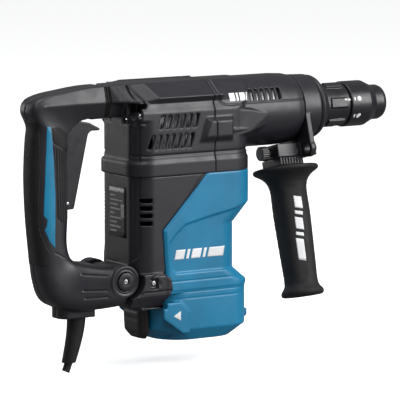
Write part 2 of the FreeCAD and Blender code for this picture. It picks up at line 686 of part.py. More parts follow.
# ---------------------------------------------------------------- side handle
def side_clamp():
    """Clamp band round the barrel's collar, with the depth-gauge lug and the block under it."""
    rear, front = BARREL_FRONT + 0.3, RING_FRONT - 1
    ring = turned_x([(rear, 0), (rear, RING_R), (front - 2.5, RING_R - 0.6), (front, RING_R - 2.5), (front, 0)])
    lug_y, lug_z = GAUGE_HOLE
    lug = turned_x([(rear, 0), (rear, LUG_R), (rear + 5, LUG_R), (rear + LUG_LENGTH, LUG_R - 2.6), (rear + LUG_LENGTH, 0)])
    lug.translate(V(0, lug_y, lug_z))
    web_outline = [(-33, 0), (lug_y - 6, lug_z + 7), (lug_y, lug_z - LUG_R), (0, -50), (14, -50), (14, -30)]
    web = prism_x(web_outline, rear, rear + 6)
    shelf = slab(-143, -96, 15, -52, -38)
    shelf = side_frame(shelf)
    body = union([ring, lug, web, shelf])
    cuts = [rod_x(-130, -80, COLLAR_R + RUNNING), rod_x(-130, -80, GAUGE_HOLE_R, lug_y, lug_z),
            rod_x(-180, rear - 0.1, BARREL_R + 1.4)]
    pocket = hexagon_z(SIDE_X, 7.6, -46.6, -30)
    button_bore = rod_x(-150, -135.5, 4.05, 0, -45.5)
    return cut_all(body, cuts + [side_frame(s) for s in (rod_z(-70, -30, 5.05, SIDE_X), pocket, button_bore)])


def side_bolt():
    """Bolt that draws the side handle's grip up to the clamp."""
    head = hexagon_z(SIDE_X, 7.5, -46.5, -40.5)
    return side_frame(union([head, rod_z(-96, -42, 5.0, SIDE_X)]))


def side_collar():
    """Toothed block between the clamp and the grip's flange."""
    block = slab(-143, -109, 17, -60, -52.3)
    block = block.fuse(rod_z(-60.7, -52.3, 15, SIDE_X))
    teeth = [box(x, x + 1.6, y, y + 2.5, -61, -52) for x in frange(-141, -111, 3.4) for y in (-18.2, 15.7)]
    front = slab(-115.2, -90, 40, -70, -40)
    return side_frame(cut_all(block, teeth + [front, rod_z(-70, -50, 5.05, SIDE_X)]))


def side_grip():
    """Flared grip with a wide guard at the top and a knob end."""
    profile = [
        (5.05, -61), (30, -61), (SIDE_FLANGE_R, -63), (SIDE_FLANGE_R, -66), (28, -70), (22, -75), (18.9, -82),
        (19.2, -107), (18.7, -133), (17.9, -159), (17.2, -176), (17.4, -182), (21.9, -187), (21.9, -191),
        (20, -193), (13, -193), (13, -188), (8, -188), (8, -97), (5.05, -97)]
    grip = turned_z([(r, z) for r, z in profile], SIDE_X)
    ribs = []
    for z in frange(-168, -92, 9.5):
        ribs.append(tube_z(z, z + 2.0, 30, 18.0, SIDE_X).common(box(-200, 0, 8, 30, z - 1, z + 3)))
    return side_frame(cut_all(grip, ribs))


def gauge_button():
    """Serrated push button that frees the depth gauge."""
    disc = rod_x(-155.5, -147.5, 7.4, 0, -45.5)
    places = regular_points(19, 7.6, 0, -45.5)
    notches = [rod_x(-156, -147, 0.7, y, z) for y, z in places]
    return side_frame(cut_all(disc, notches).fuse(rod_x(-147.6, -139.5, 4.0, 0, -45.5)))


# ---------------------------------------------------------------- chuck
def nose_cone():
    """Tapered cover in front of the clamp ring."""
    rear, front = RING_FRONT - 0.6, NOSE_FRONT
    return turned_x([
        (rear, 21), (rear, 31.5), (rear + 2.6, 32.5), (rear + 5.6, 31), (front - 0.8, 24.5), (front, 24.5),
        (front, 17.5), (front - 4.8, 17.5), (front - 8.8, 21)])


def neck_cover():
    """Rear part of the quick-change chuck, with six raised finger pads."""
    rear, front = NOSE_FRONT + 0.6, NECK_FRONT - 0.4
    neck = turned_x([
        (rear, 14.05), (rear, 21.2), (rear + 1.6, 22), (-60, 21), (front - 1.2, 21.8), (front, 21.2),
        (front, 14.05)])
    pads = []
    for n in range(6):
        pad = prism_x([(-5.5, 18), (5.5, 18), (4.5, NECK_R + 0.9), (-4.5, NECK_R + 0.9)], -74, -54)
        pad.rotate(V(0, 0, 0), X_AXIS, 60 * n + 20)
        pads.append(pad)
    return union([neck] + pads).cut(rod_x(-90, -40, 14.05))


def lock_ring():
    """Ring that turns to free the chuck."""
    return turned_x([
        (NECK_FRONT, 14.05), (NECK_FRONT, 22.6), (NECK_FRONT + 1, LOCK_R), (-24.5, LOCK_R), (-23, 22.8),
        (LOCK_FRONT, 19.2), (LOCK_FRONT, 18.45), (-36, 18.45), (-36, 14.05)])


def chuck_sleeve():
    """Front sleeve that is drawn back to free the bit."""
    return turned_x([(-29, 16.4), (-29, 18.2), (-14, SLEEVE_R), (-4.5, SLEEVE_R), (-1.2, 16.6), (-0.6, 15),
                     (-0.6, 13.2), (-10, 13.2), (-11, 16.4)])


def dust_cap():
    """Rubber lip that keeps dust out of the bore."""
    return turned_x([
        (-7, 12.05), (-7, 13.0), (-0.5, 13.0), (1.0, 12.2), (2.0, 10.5), (2.0, 7), (0.4, 5.6), (0.1, 5.6),
        (0.1, 12.05)])


def sleeve_spring():
    return coil_x(-27.5, -12.0, 14.4, 0.8, 4)


def chuck_body():
    """Steel chuck body with the bit's bore, ball slots and a flange that the lock ring turns on."""
    body = turned_x([(-84, 0), (-84, 14), (-36.5, 14), (-36.5, 12.0), (0, 12.0), (0, 0)])
    cuts = [rod_x(-20, 1, BIT_R), rod_x(-76, -19.9, BIT_R + 0.2), rod_x(-90, -75.9, 9.05)]
    for z0, z1 in ((5, 15), (-15, -5)):
        cuts += [rod_z(z0, z1, 3.6, x) for x in (-34, -30)] + [box(-34, -30, -3.6, 3.6, z0, z1)]
    return cut_all(body, cuts)


def retaining_balls():
    return Part.makeCompound([Part.makeSphere(3.5, V(-32, 0, z)) for z in (8.9, -8.9)])


# ---------------------------------------------------------------- drive inside the housings
def gear_housing():
    """Casting that carries the gears, the spindle bearings and the collar for the side handle."""
    plate = plan_block([(-42, -297, -186, 33), (-30, -297, -186, 33)], 18, 18)
    bulkhead = slab(-240, -226, 25, -34, 0).fuse(rod_x(-240, -226, 25.4))
    nose = turned_x([
        (-192, 0), (-192, 31), (-118, 31), (-117, COLLAR_R), (-91.7, COLLAR_R), (-91.7, 20.8), (-88.2, 20.8),
        (-88.2, 0)])
    rails = both_sides(box(-230, -190, 24, 31, -34, 6))
    body = union([plate, bulkhead, nose] + rails.Solids)
    cuts = [
        rod_x(-250, -225, 22.05), rod_x(-193, -120, 26.5), rod_x(-121, -85, 16.6),
        rod_x(-113, -99, 22.05),
        rod_z(-45, -29, 16.05, CRANK_X), rod_z(-45, -29, 11.05, COUNTER_X), rod_x(-227, -190, 26.5)]
    return cut_all(body, cuts)


def bearing_plate():
    """Plate under the gears that holds the motor's upper bearing and the lower shaft bearings."""
    plate = plan_block([(-78, -300, -186, 34), (-70, -300, -186, 34)], 18, 18)
    hub = rod_z(-78, -62, 19, MOTOR_X)
    cuts = [rod_z(-80, -60, 5.6, MOTOR_X), rod_z(-73, -60, 14.05, MOTOR_X),
            rod_z(-75, -60, 11.05, COUNTER_X), rod_z(-75, -60, 11.05, CRANK_X)]
    posts = [rod_z(-78, -42, 3.5, x, y) for x in (-292, -191) for y in (-22, 22)]
    return cut_all(union([plate, hub] + posts), cuts)


def ball_bearing(r_in, r_out, width):
    """Sealed bearing about Z, standing on Z = 0, drawn as one ring with a seal groove on both faces."""
    groove_in, groove_out = r_in + (r_out - r_in) * 0.3, r_in + (r_out - r_in) * 0.72
    grooves = [tube_z(z, z + 1.5, groove_out, groove_in, 0) for z in (-1, width - 0.5)]
    return cut_all(tube_z(0, width, r_out, r_in, 0), grooves)


def upright_bearing(x, z, r_in, r_out, width):
    ring = ball_bearing(r_in, r_out, width)
    ring.translate(V(x, 0, z))
    return ring


def spindle_bearing(x, r_in, r_out, width):
    ring = ball_bearing(r_in, r_out, width)
    ring.rotate(V(0, 0, 0), Y_AXIS, 90)
    ring.translate(V(x, 0, 0))
    return ring


def ball_bearings():
    """The eight rolling bearings of the motor, crank, countershaft and spindle."""
    return Part.makeCompound([
        upright_bearing(MOTOR_X, -72.9, 5 + RUNNING, 14.0, 9.9),
        upright_bearing(MOTOR_X, -206, 4 + RUNNING, 11.0, 7),
        upright_bearing(CRANK_X, -41, 7 + RUNNING, 16.0, 10),
        upright_bearing(CRANK_X, -74.9, 4 + RUNNING, 11.0, 7.9),
        upright_bearing(COUNTER_X, -41, 4 + RUNNING, 11.0, 10),
        upright_bearing(COUNTER_X, -74.9, 4 + RUNNING, 11.0, 7.9),
        spindle_bearing(-238, CYLINDER_R + RUNNING, 22.0, 10), spindle_bearing(-112.5, 14 + RUNNING, 22.0, 12)])


def armature_shaft():
    shaft = rod_z(-197, -62, 5.0, MOTOR_X).fuse(rod_z(-206.5, -196, 4.0, MOTOR_X))
    pinion = involute_gear(PINION_TEETH, GEAR_MODULE, 0.5, -62, GEAR_Z + 6, MOTOR_X, 0.0)
    return shaft.fuse(pinion)


def armature_core():
    core = tube_z(-150, -102, 21.0, 5.0, MOTOR_X)
    slots = []
    for n in range(12):
        t = math.radians(30 * n)
        slot = box(12, 19.6, -1.7, 1.7, -151, -101).fuse(box(19, 22, -0.6, 0.6, -151, -101))
        slot.rotate(V(0, 0, 0), Z_AXIS, math.degrees(t))
        slot.translate(V(MOTOR_X, 0, 0))
        slots.append(slot)
    return cut_all(core, slots)


def armature_windings():
    top = turned_z([(5.0, -102), (19, -102), (19.5, -99), (16, -94), (9, -93), (5.0, -94)], MOTOR_X)
    low = turned_z([(5.0, -150), (5.0, -158), (9, -160), (16, -158), (19.5, -153), (19, -150)], MOTOR_X)
    return Part.makeCompound([top, low])


def commutator():
    ring = tube_z(-182, -163, 12.0, 5.0, MOTOR_X)
    gaps = []
    for n in range(24):
        gap = box(10.8, 13, -0.25, 0.25, -183, -164.5)
        gap.rotate(V(0, 0, 0), Z_AXIS, 15 * n)
        gap.translate(V(MOTOR_X, 0, 0))
        gaps.append(gap)
    return cut_all(ring, gaps)


def cooling_fan():
    """Fan under the bearing plate, with eleven upright blades."""
    hub = turned_z(
        [(5.0, -91), (9, -91), (9, -88), (32, -88), (32, -86.5), (12, -86.5), (9, -81), (5.0, -81)], MOTOR_X)
    blades = []
    for n in range(11):
        blade = box(12, 31.5, -0.8, 0.8, -87, -81)
        blade.rotate(V(12, 0, 0), Z_AXIS, 20)
        blade.rotate(V(0, 0, 0), Z_AXIS, 360 * n / 11)
        blade.translate(V(MOTOR_X, 0, 0))
        blades.append(blade)
    return union([hub] + blades)


def motor_stator():
    ring = tube_z(-150, -102, 33.0, 21.6, MOTOR_X)
    flats = [box(MOTOR_X - 40, MOTOR_X + 40, y, y + 10, -155, -95) for y in (31, -41)]
    return cut_all(ring, flats)


def stator_coils():
    """Two saddle coils, seen as end turns above and below the stator."""
    parts = []
    for z0, z1 in ((-101.9, -93.5), (-160.5, -150.1)):
        ring = tube_z(z0, z1, 31.0, 23.5, MOTOR_X)
        half = ring.common(box(MOTOR_X - 40, MOTOR_X + 40, 6, 40, z0, z1))
        parts += [half, mirrored_y(half)]
    return Part.makeCompound(parts)


def brush_frame():
    """Frame under the motor with the lower bearing seat and two brush tubes."""
    disc = tube_z(-190, -186, 33, 14, MOTOR_X)
    cup = tube_z(-207.5, -188, 14.5, 11.05, MOTOR_X)
    floor = tube_z(-209, -207, 14.5, 3, MOTOR_X)
    tubes = []
    for side in (-1, 1):
        y0, y1 = sorted((side * 15, side * 33))
        tube = box(MOTOR_X - 6.5, MOTOR_X + 6.5, y0, y1, -186.5, -164)
        tubes.append(tube.cut(box(MOTOR_X - 4.2, MOTOR_X + 4.2, y0 - 1, y1 + 1, -182, -168)))
    legs = [tube_z(BASE_BOTTOM + 9, -189, 4, 2.0 + RUNNING, x, y) for x, y in SCREW_PLACES]
    return union([disc, cup, floor] + tubes + legs)


def carbon_brushes():
    """Two brushes that bear on the commutator."""
    brushes = []
    for side in (-1, 1):
        y0, y1 = sorted((side * 12.1, side * 27))
        brushes.append(box(MOTOR_X - 4, MOTOR_X + 4, y0, y1, -181.8, -168.2))
    return Part.makeCompound(brushes)


def crank_gear():
    gear = involute_gear(CRANK_TEETH, GEAR_MODULE, -0.5, GEAR_Z - 5, GEAR_Z + 5, CRANK_X, 4.5)
    holes = [rod_z(-60, -40, 3.6, x, y) for x, y in regular_points(6, 15, CRANK_X, 0)]
    return cut_all(gear, holes + [rod_z(-60, -40, 7.0, CRANK_X)])


def crankshaft():
    """Shaft with its disc and the short eccentric pin that drives the connecting rod."""
    shaft = rod_z(-55, -24, 7.0, CRANK_X).fuse(rod_z(-74.5, -55, 4.0, CRANK_X))
    disc = rod_z(-24.5, -13, 16.5, CRANK_X)
    pin = rod_z(-13, -5.4, 5.0, CRANK_X + CRANK_THROW)
    return union([shaft, disc, pin])


def connecting_rod():
    """Rod from the crank pin to the piston; its shank narrows between the two eyes."""
    big_x, small_x = CRANK_X + CRANK_THROW, CRANK_X + CRANK_THROW + ROD_LENGTH
    big, small = rod_z(-5, 5, 10, big_x), rod_z(-5, 5, 7, small_x)
    shank = slab(big_x, small_x, 4.5, -5, 5)
    pockets = [slab(big_x + 12, small_x - 9, 2.6, z0, z1) for z0, z1 in ((3, 6), (-6, -3))]
    eyes = [rod_z(-6, 6, 5.4, big_x), rod_z(-6, 6, 4 + RUNNING, small_x)]
    return cut_all(union([big, small, shank]), pockets + eyes)


def piston():
    body = turned_x([
        (-221, 0), (-221, PISTON_R), (-205, PISTON_R), (-205, 11.2), (-202, 11.2), (-202, PISTON_R),
        (-199, PISTON_R), (-199, 0)])
    slot = slab(-222, -203, 20, -5.5, 5.5).common(rod_x(-223, -202.9, 12.5))
    mouth = slab(-222, -214, 20, -5.5, 5.5)
    pin_hole = rod_z(-20, 20, 4.0, CRANK_X + CRANK_THROW + ROD_LENGTH)
    return cut_all(body, [slot, mouth, pin_hole])


def wrist_pin():
    return rod_z(-12.4, 12.4, 4.0, CRANK_X + CRANK_THROW + ROD_LENGTH)


def piston_seal():
    return turned_x([(-204.8, 11.3), (-204.8, 13.5), (-202.2, 13.5), (-202.2, 11.3)])


def cylinder():
    """Spindle tube with the compression chamber; it turns and carries the chuck."""
    bore = PISTON_R + RUNNING
    tube = turned_x([
        (-240, bore), (-240, CYLINDER_R), (-140, CYLINDER_R), (-136, 14), (-84.2, 14), (-84.2, 7.6),
        (-92, 7.6), (-92, 9.6), (-139.4, 9.6), (-139.4, bore)])
    vents = []
    for n in range(4):
        vent = rod_z(10, 20, 1.6, -170)
        vent.rotate(V(0, 0, 0), X_AXIS, 90 * n + 45)
        vents.append(vent)
    return cut_all(tube, vents)


def striker():
    body = turned_x([(-178, 0), (-178, 13.45), (-164, 13.45), (-161, 9), (-150, 9), (-150, 0)])
    return body.cut(turned_x([(-172, 12.2), (-172, 14), (-169.5, 14), (-169.5, 12.2)]))


def impact_bolt():
    return turned_x([(-135, 0), (-135, 8), (-133, 9.5), (-110, 9.5), (-106, 7.5), (-88, 7.5), (-88, 0)])


def countershaft():
    shaft = rod_z(-74.5, -24, 4.0, COUNTER_X)
    pinion = bevel_gear(
        BEVEL_PINION_TEETH, BEVEL_TEETH, BEVEL_MODULE, V(COUNTER_X, 0, 0), V(0, 0, -1), X_AXIS, 6, 0, 0.5)
    return shaft.fuse(pinion)


def counter_gear():
    gear = involute_gear(COUNTER_TEETH, GEAR_MODULE, -0.5, GEAR_Z - 5, GEAR_Z + 5, COUNTER_X, 5.0)
    web = [tube_z(z, z + 3, 18, 8, COUNTER_X) for z in (-55.5, -47.5)]
    return cut_all(gear, web + [rod_z(-60, -40, 4.0, COUNTER_X)])


def spindle_gear():
    """Bevel ring gear on the spindle tube."""
    half_pitch = 180 / BEVEL_TEETH
    gear = bevel_gear(
        BEVEL_TEETH, BEVEL_PINION_TEETH, BEVEL_MODULE, V(COUNTER_X, 0, 0), X_AXIS, V(0, 0, -1),
        6, half_pitch, 3.5)
    return gear.cut(rod_x(-220, -190, CYLINDER_R))


def clutch_spring():
    return coil_x(-196.0, -176.0, 18.2, 1.5, 4)


def circuit_board():
    """Speed controller behind the motor, in a potted tray."""
    tray = slab(-313, -305, 24, -132, -84).cut(slab(-306.5, -300, 22.5, -130.5, -85.5))
    fins = [slab(-310, -303.5, 18, z, z + 1.2) for z in frange(-126, -92, 5)]
    return union([tray] + fins)


def mode_knob():
    """Knob on the left side that picks drilling, hammering or both."""
    x, z = MODE_KNOB
    disc = rod_y(43.4, 49, 14, x, z).fuse(rod_y(34, 43.5, 6, x, z))
    bar = box(x - 13, x + 13, 49, 54, z - 3.5, z + 3.5).common(rod_y(48, 55, 13, x, z))
    scallops = [rod_y(43, 50, 2, *place) for place in regular_points(16, 15, x, z)]
    return cut_all(disc, scallops).fuse(bar)


def body_screws():
    """Four screws under the base."""
    screws = []
    for x, y in SCREW_PLACES:
        shank = rod_z(BASE_BOTTOM + 9, BASE_BOTTOM + 18, 2.0, x, y)
        screws.append(shank.fuse(rod_z(BASE_BOTTOM + 5.5, BASE_BOTTOM + 9, 2.5, x, y)))
    return Part.makeCompound(screws)


# ---------------------------------------------------------------- files
MAKERS = [
    crank_housing_cover, barrel_cover, rear_cover, rear_foot, motor_housing, bottom_cover, body_screws,
    handle_left, handle_right, grip_inlays, grip_pad, handle_screws, trigger, switch_body,
    bellows, isolation_spring, pivot_bolt, pivot_bushes, cord_guard, power_cord, mode_knob,
    side_clamp, side_bolt, side_collar, side_grip, gauge_button,
    nose_cone, neck_cover, lock_ring, chuck_sleeve, dust_cap, sleeve_spring, chuck_body, retaining_balls,
    gear_housing, bearing_plate, ball_bearings, armature_shaft, armature_core, armature_windings,
    commutator, cooling_fan, motor_stator, stator_coils, brush_frame, carbon_brushes, circuit_board,
    crank_gear, crankshaft, connecting_rod, piston, piston_seal, wrist_pin, cylinder, striker, impact_bolt,
    countershaft, counter_gear, spindle_gear, clutch_spring,
]

os.makedirs("parts", exist_ok=True)
for make in MAKERS:
    make().exportStep("parts/" + make.__name__ + ".step")
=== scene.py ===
import math
import bmesh
import bpy
import numpy as np
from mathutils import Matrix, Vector
from mathutils.bvhtree import BVHTree


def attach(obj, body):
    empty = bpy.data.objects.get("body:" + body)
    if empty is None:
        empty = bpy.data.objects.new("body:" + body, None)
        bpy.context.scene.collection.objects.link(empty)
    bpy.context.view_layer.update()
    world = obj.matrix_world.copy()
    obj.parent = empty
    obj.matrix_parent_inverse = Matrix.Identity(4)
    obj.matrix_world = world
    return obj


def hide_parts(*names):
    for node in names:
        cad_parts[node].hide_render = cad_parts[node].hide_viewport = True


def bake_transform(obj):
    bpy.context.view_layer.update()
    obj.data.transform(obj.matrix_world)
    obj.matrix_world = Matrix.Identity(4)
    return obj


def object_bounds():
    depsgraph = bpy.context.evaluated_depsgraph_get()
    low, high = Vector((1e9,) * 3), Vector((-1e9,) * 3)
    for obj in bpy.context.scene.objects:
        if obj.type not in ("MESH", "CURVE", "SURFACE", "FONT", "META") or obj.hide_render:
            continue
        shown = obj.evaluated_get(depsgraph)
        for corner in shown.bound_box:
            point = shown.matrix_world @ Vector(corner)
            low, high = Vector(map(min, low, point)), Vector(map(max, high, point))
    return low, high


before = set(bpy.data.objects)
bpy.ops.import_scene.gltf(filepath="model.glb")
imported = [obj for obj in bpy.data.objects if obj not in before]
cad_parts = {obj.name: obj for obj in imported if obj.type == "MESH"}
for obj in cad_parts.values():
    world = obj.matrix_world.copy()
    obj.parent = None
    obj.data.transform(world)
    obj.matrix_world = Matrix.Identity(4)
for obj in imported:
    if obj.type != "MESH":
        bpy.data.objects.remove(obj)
CAD_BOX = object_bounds()

MM = 0.001
RIGHT, LEFT = -1, 1

# Places of the main features, in millimetres, in the frame's own axes.
PIVOT_X, PIVOT_Z = -330.0, -157.0
CHEEK_R, CHEEK_HALF, LUG_HALF = 16.0, 36.0, 21.0
ARM_END, STUB_END = -340.0, -334.5
COVER_SPLIT_X = -228.0
BODY_HALF = 40.0
SKIN_T = 3.0
SIDE_X, SIDE_TILT = -127.0, math.radians(14.5)


# ------------------------------------------------------------------ materials
class Nodes:
    """Small helper that builds a node tree for one material."""

    def __init__(self, name):
        self.material = bpy.data.materials.new(name)
        self.material.use_nodes = True
        self.tree = self.material.node_tree
        self.tree.nodes.clear()
        self.output = self.add("ShaderNodeOutputMaterial")
        self.surface = self.add("ShaderNodeBsdfPrincipled")
        self.link(self.surface.outputs["BSDF"], self.output.inputs["Surface"])
        self.where = self.add("ShaderNodeTexCoord").outputs["Object"]

    def add(self, kind, **values):
        node = self.tree.nodes.new(kind)
        for key, value in values.items():
            setattr(node, key, value)
        return node

    def link(self, a, b):
        self.tree.links.new(a, b)

    def noise(self, scale, detail=2.0, stretch=None):
        node = self.add("ShaderNodeTexNoise")
        node.inputs["Scale"].default_value = scale
        node.inputs["Detail"].default_value = detail
        source = self.where
        if stretch:
            mapping = self.add("ShaderNodeMapping")
            mapping.inputs["Scale"].default_value = stretch
            self.link(source, mapping.inputs["Vector"])
            source = mapping.outputs["Vector"]
        self.link(source, node.inputs["Vector"])
        return node.outputs["Fac"]

    def ranged(self, value, low, high, from_low=0.3, from_high=0.7):
        node = self.add("ShaderNodeMapRange")
        limits = {"From Min": from_low, "From Max": from_high, "To Min": low, "To Max": high}
        for key, number in limits.items():
            node.inputs[key].default_value = number
        self.link(value, node.inputs["Value"])
        return node.outputs["Result"]

    def mixed(self, factor, a, b):
        node = self.add("ShaderNodeMix", data_type="RGBA")
        self.link(factor, node.inputs["Factor"])
        for socket, value in ((node.inputs[6], a), (node.inputs[7], b)):
            if isinstance(value, tuple):
                socket.default_value = (*value, 1.0)
            else:
                self.link(value, socket)
        return node.outputs[2]

    def bump(self, height, strength, distance):
        node = self.add("ShaderNodeBump")
        node.inputs["Strength"].default_value = strength
        node.inputs["Distance"].default_value = distance
        self.link(height, node.inputs["Height"])
        self.link(node.outputs["Normal"], self.surface.inputs["Normal"])


def plastic(name, colour, roughness, grain=1400.0, relief=0.00004, edge_highlight=0.0, coat=0.0):
    """Moulded plastic: spark-eroded grain, slight mottling, and a painted highlight that lightens the convex
    edges.
    """
    n = Nodes(name)
    dark = tuple(c * 0.88 for c in colour)
    light = tuple(min(1.0, c * 1.12) for c in colour)
    base = n.mixed(n.ranged(n.noise(22.0, 3.0), 0.0, 1.0), dark, light)
    # Painted highlight: convex edges, found by pointiness, are mixed towards a lighter colour in place of a
    # real sheen.
    if edge_highlight:
        edge = n.ranged(n.add("ShaderNodeNewGeometry").outputs["Pointiness"], 0.0, edge_highlight, 0.53, 0.60)
        base = n.mixed(edge, base, tuple(min(1.0, c * 2.0 + 0.02) for c in colour))
    n.link(base, n.surface.inputs["Base Color"])
    n.link(n.ranged(n.noise(90.0, 4.0), roughness - 0.05, roughness + 0.06), n.surface.inputs["Roughness"])
    n.surface.inputs["Coat Weight"].default_value = coat
    n.bump(n.noise(grain, 2.0), 0.35, relief)
    return n.material


def rubber(name, colour, roughness=0.66):
    """Soft moulded rubber: fine pebble, dusty variation, weak shine."""
    n = Nodes(name)
    dusty = tuple(min(1.0, c * 1.5 + 0.004) for c in colour)
    n.link(n.mixed(n.ranged(n.noise(35.0, 5.0), 0.0, 0.8), colour, dusty), n.surface.inputs["Base Color"])
    n.link(n.ranged(n.noise(160.0, 3.0), roughness - 0.06, roughness + 0.08), n.surface.inputs["Roughness"])
    n.surface.inputs["Specular IOR Level"].default_value = 0.35
    n.bump(n.noise(1900.0, 1.0), 0.5, 0.00006)
    return n.material


def metal(name, colour, roughness, brushed=None, cast=False):
    """Machined metal with fine lathe or grinding lines, or a cast, lightly blasted surface."""
    n = Nodes(name)
    n.surface.inputs["Metallic"].default_value = 1.0
    dull = tuple(c * 0.82 for c in colour)
    n.link(n.mixed(n.ranged(n.noise(60.0, 4.0), 0.0, 1.0), colour, dull), n.surface.inputs["Base Color"])
    lines = n.noise(500.0, 3.0, stretch=brushed or (1.0, 1.0, 1.0))
    n.link(n.ranged(lines, roughness - 0.08, roughness + 0.1), n.surface.inputs["Roughness"])
    n.bump(lines, 0.4 if cast else 0.15, 0.00008 if cast else 0.00002)
    return n.material


def wound(name, colour, pitch):
    """Rows of enamelled wire, with painted shade in the grooves between the turns."""
    n = Nodes(name)
    wave = n.add("ShaderNodeTexWave", bands_direction="Z")
    wave.inputs["Scale"].default_value = pitch
    wave.inputs["Distortion"].default_value = 0.6
    n.link(n.where, wave.inputs["Vector"])
    # Painted shade: the colour between the turns is darkened to stand in for the shade in the grooves.
    between = tuple(c * 0.4 for c in colour)
    n.link(n.mixed(wave.outputs["Fac"], between, colour), n.surface.inputs["Base Color"])
    n.surface.inputs["Metallic"].default_value = 0.8
    n.link(n.ranged(n.noise(80.0), 0.25, 0.45), n.surface.inputs["Roughness"])
    n.bump(wave.outputs["Fac"], 0.6, 0.0002)
    return n.material


# For each plastic below, the edge value sets how strongly a painted highlight lightens its convex edges.
MATERIALS = {
    "black_shell": plastic("black_plastic", (0.0135, 0.0120, 0.0165), 0.40, edge_highlight=0.15),
    "blue_shell": plastic("blue_plastic", (0.005, 0.185, 0.350), 0.40, relief=0.00002, edge_highlight=0.25),
    "black_rubber": rubber("soft_rubber", (0.0085, 0.0082, 0.0090)),
    "chuck_black": plastic("chuck_plastic", (0.0095, 0.0085, 0.0115), 0.34, relief=0.00002, edge_highlight=0.15),
    "blue_inlay": plastic("inlay_plastic", (0.005, 0.190, 0.350), 0.36, relief=0.00002, edge_highlight=0.20),
    "steel": metal("ground_steel", (0.56, 0.56, 0.58), 0.28, brushed=(1.0, 9.0, 9.0)),
    "dark_steel": metal("phosphated_steel", (0.055, 0.055, 0.060), 0.42),
    "aluminium": metal("cast_aluminium", (0.62, 0.62, 0.64), 0.42, cast=True),
    "copper": wound("winding_wire", (0.72, 0.30, 0.13), 260.0),
    "carbon": plastic("brush_carbon", (0.02, 0.02, 0.02), 0.6),
    "lamination": metal("stacked_sheet", (0.30, 0.30, 0.32), 0.4, brushed=(1.0, 1.0, 14.0)),
    "fan_plastic": plastic("fan_nylon", (0.05, 0.05, 0.05), 0.5),
    "board_potting": plastic("board_potting", (0.02, 0.06, 0.03), 0.35, coat=0.4),
    "grey_button": plastic("grey_plastic", (0.055, 0.055, 0.058), 0.42, edge_highlight=0.3),
    "print": plastic("white_ink", (0.82, 0.82, 0.83), 0.5, grain=900.0, relief=0.00001),
    "plate": plastic("plate_film", (0.010, 0.010, 0.012), 0.25, grain=600.0, relief=0.00001, coat=0.3),
    "plate_ink": plastic("plate_ink", (0.30, 0.30, 0.31), 0.45, grain=700.0, relief=0.00001),
}


# ------------------------------------------------------------------ solids, in millimetres
def joined(*solids):
    """Several solids as one list of points and faces."""
    points, faces, base = [], [], 0
    for p, f in solids:
        points.append(np.asarray(p, float))
        faces += [tuple(i + base for i in face) for face in f]
        base += len(p)
    return np.vstack(points), faces


def loft(rings):
    """Closed solid through rings that have the same number of points."""
    n = len(rings[0])
    faces = [tuple(range(n))[::-1], tuple(range((len(rings) - 1) * n, len(rings) * n))]
    for i in range(len(rings) - 1):
        a, b = i * n, (i + 1) * n
        faces += [(a + j, a + (j + 1) % n, b + (j + 1) % n, b + j) for j in range(n)]
    return np.vstack(rings), faces


def extruded(outline, axis, start, stop):
    """Prism of a flat outline along axis 0, 1 or 2."""
    others = [k for k in range(3) if k != axis]
    rings = []
    for level in (start, stop):
        ring = np.zeros((len(outline), 3))
        ring[:, others] = outline
        ring[:, axis] = level
        rings.append(ring)
    return loft(rings)


def block(x0, x1, y0, y1, z0, z1):
    return extruded([(y0, z0), (y1, z0), (y1, z1), (y0, z1)], 0, x0, x1)


def round_outline(cx, cy, r, count=48):
    return [(cx + r * math.cos(2 * math.pi * i / count), cy + r * math.sin(2 * math.pi * i / count))
            for i in range(count)]


def rod_y(x, z, r, y0, y1):
    """Round rod across the body."""
    return extruded(round_outline(x, z, r), 1, y0, y1)


def rounded_box_outline(x0, x1, half, r, per_corner=8):
    """Rectangle in plan with rounded corners."""
    points = []
    corners = ((x1 - r, half - r, 0), (x0 + r, half - r, 90),
               (x0 + r, -half + r, 180), (x1 - r, -half + r, 270))
    for cx, cy, first in corners:
        for i in range(per_corner + 1):
            turn = math.radians(first + 90 * i / per_corner)
            points.append((cx + r * math.cos(turn), cy + r * math.sin(turn)))
    return points


def turned(profile, place, count=96):
    """Ring turned from a closed (along, radius) profile; place puts (along, across, up) in the frame."""
    n = len(profile)
    points, faces = [], []
    for i in range(count):
        turn = 2 * math.pi * i / count
        points += [place(a, r * math.cos(turn), r * math.sin(turn)) for a, r in profile]
        here, after = i * n, ((i + 1) % count) * n
        faces += [(here + j, here + (j + 1) % n, after + (j + 1) % n, after + j) for j in range(n)]
    return np.array(points), faces


def mirrored(solid):
    points, faces = solid
    return points * (1, -1, 1), [face[::-1] for face in faces]


def both(solid):
    return joined(solid, mirrored(solid))


def cad(node):
    """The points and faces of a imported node."""
    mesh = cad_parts[node].data
    points = np.empty(len(mesh.vertices) * 3)
    mesh.vertices.foreach_get("co", points)
    return points.reshape(-1, 3) / MM, [tuple(p.vertices) for p in mesh.polygons]


# ------------------------------------------------------------------ mesh work
WELD_DISTANCE = 0.0005


def scratch(solid):
    """Temporary object, in millimetres, with its faces turned outwards."""
    mesh = bpy.data.meshes.new("scratch")
    mesh.from_pydata(np.asarray(solid[0]).tolist(), [], solid[1])
    bm = bmesh.new()
    bm.from_mesh(mesh)
    bmesh.ops.remove_doubles(bm, verts=bm.verts, dist=WELD_DISTANCE)
    bmesh.ops.recalc_face_normals(bm, faces=bm.faces)
    bm.to_mesh(mesh)
    bm.free()
    obj = bpy.data.objects.new("scratch", mesh)
    bpy.context.scene.collection.objects.link(obj)
    return obj


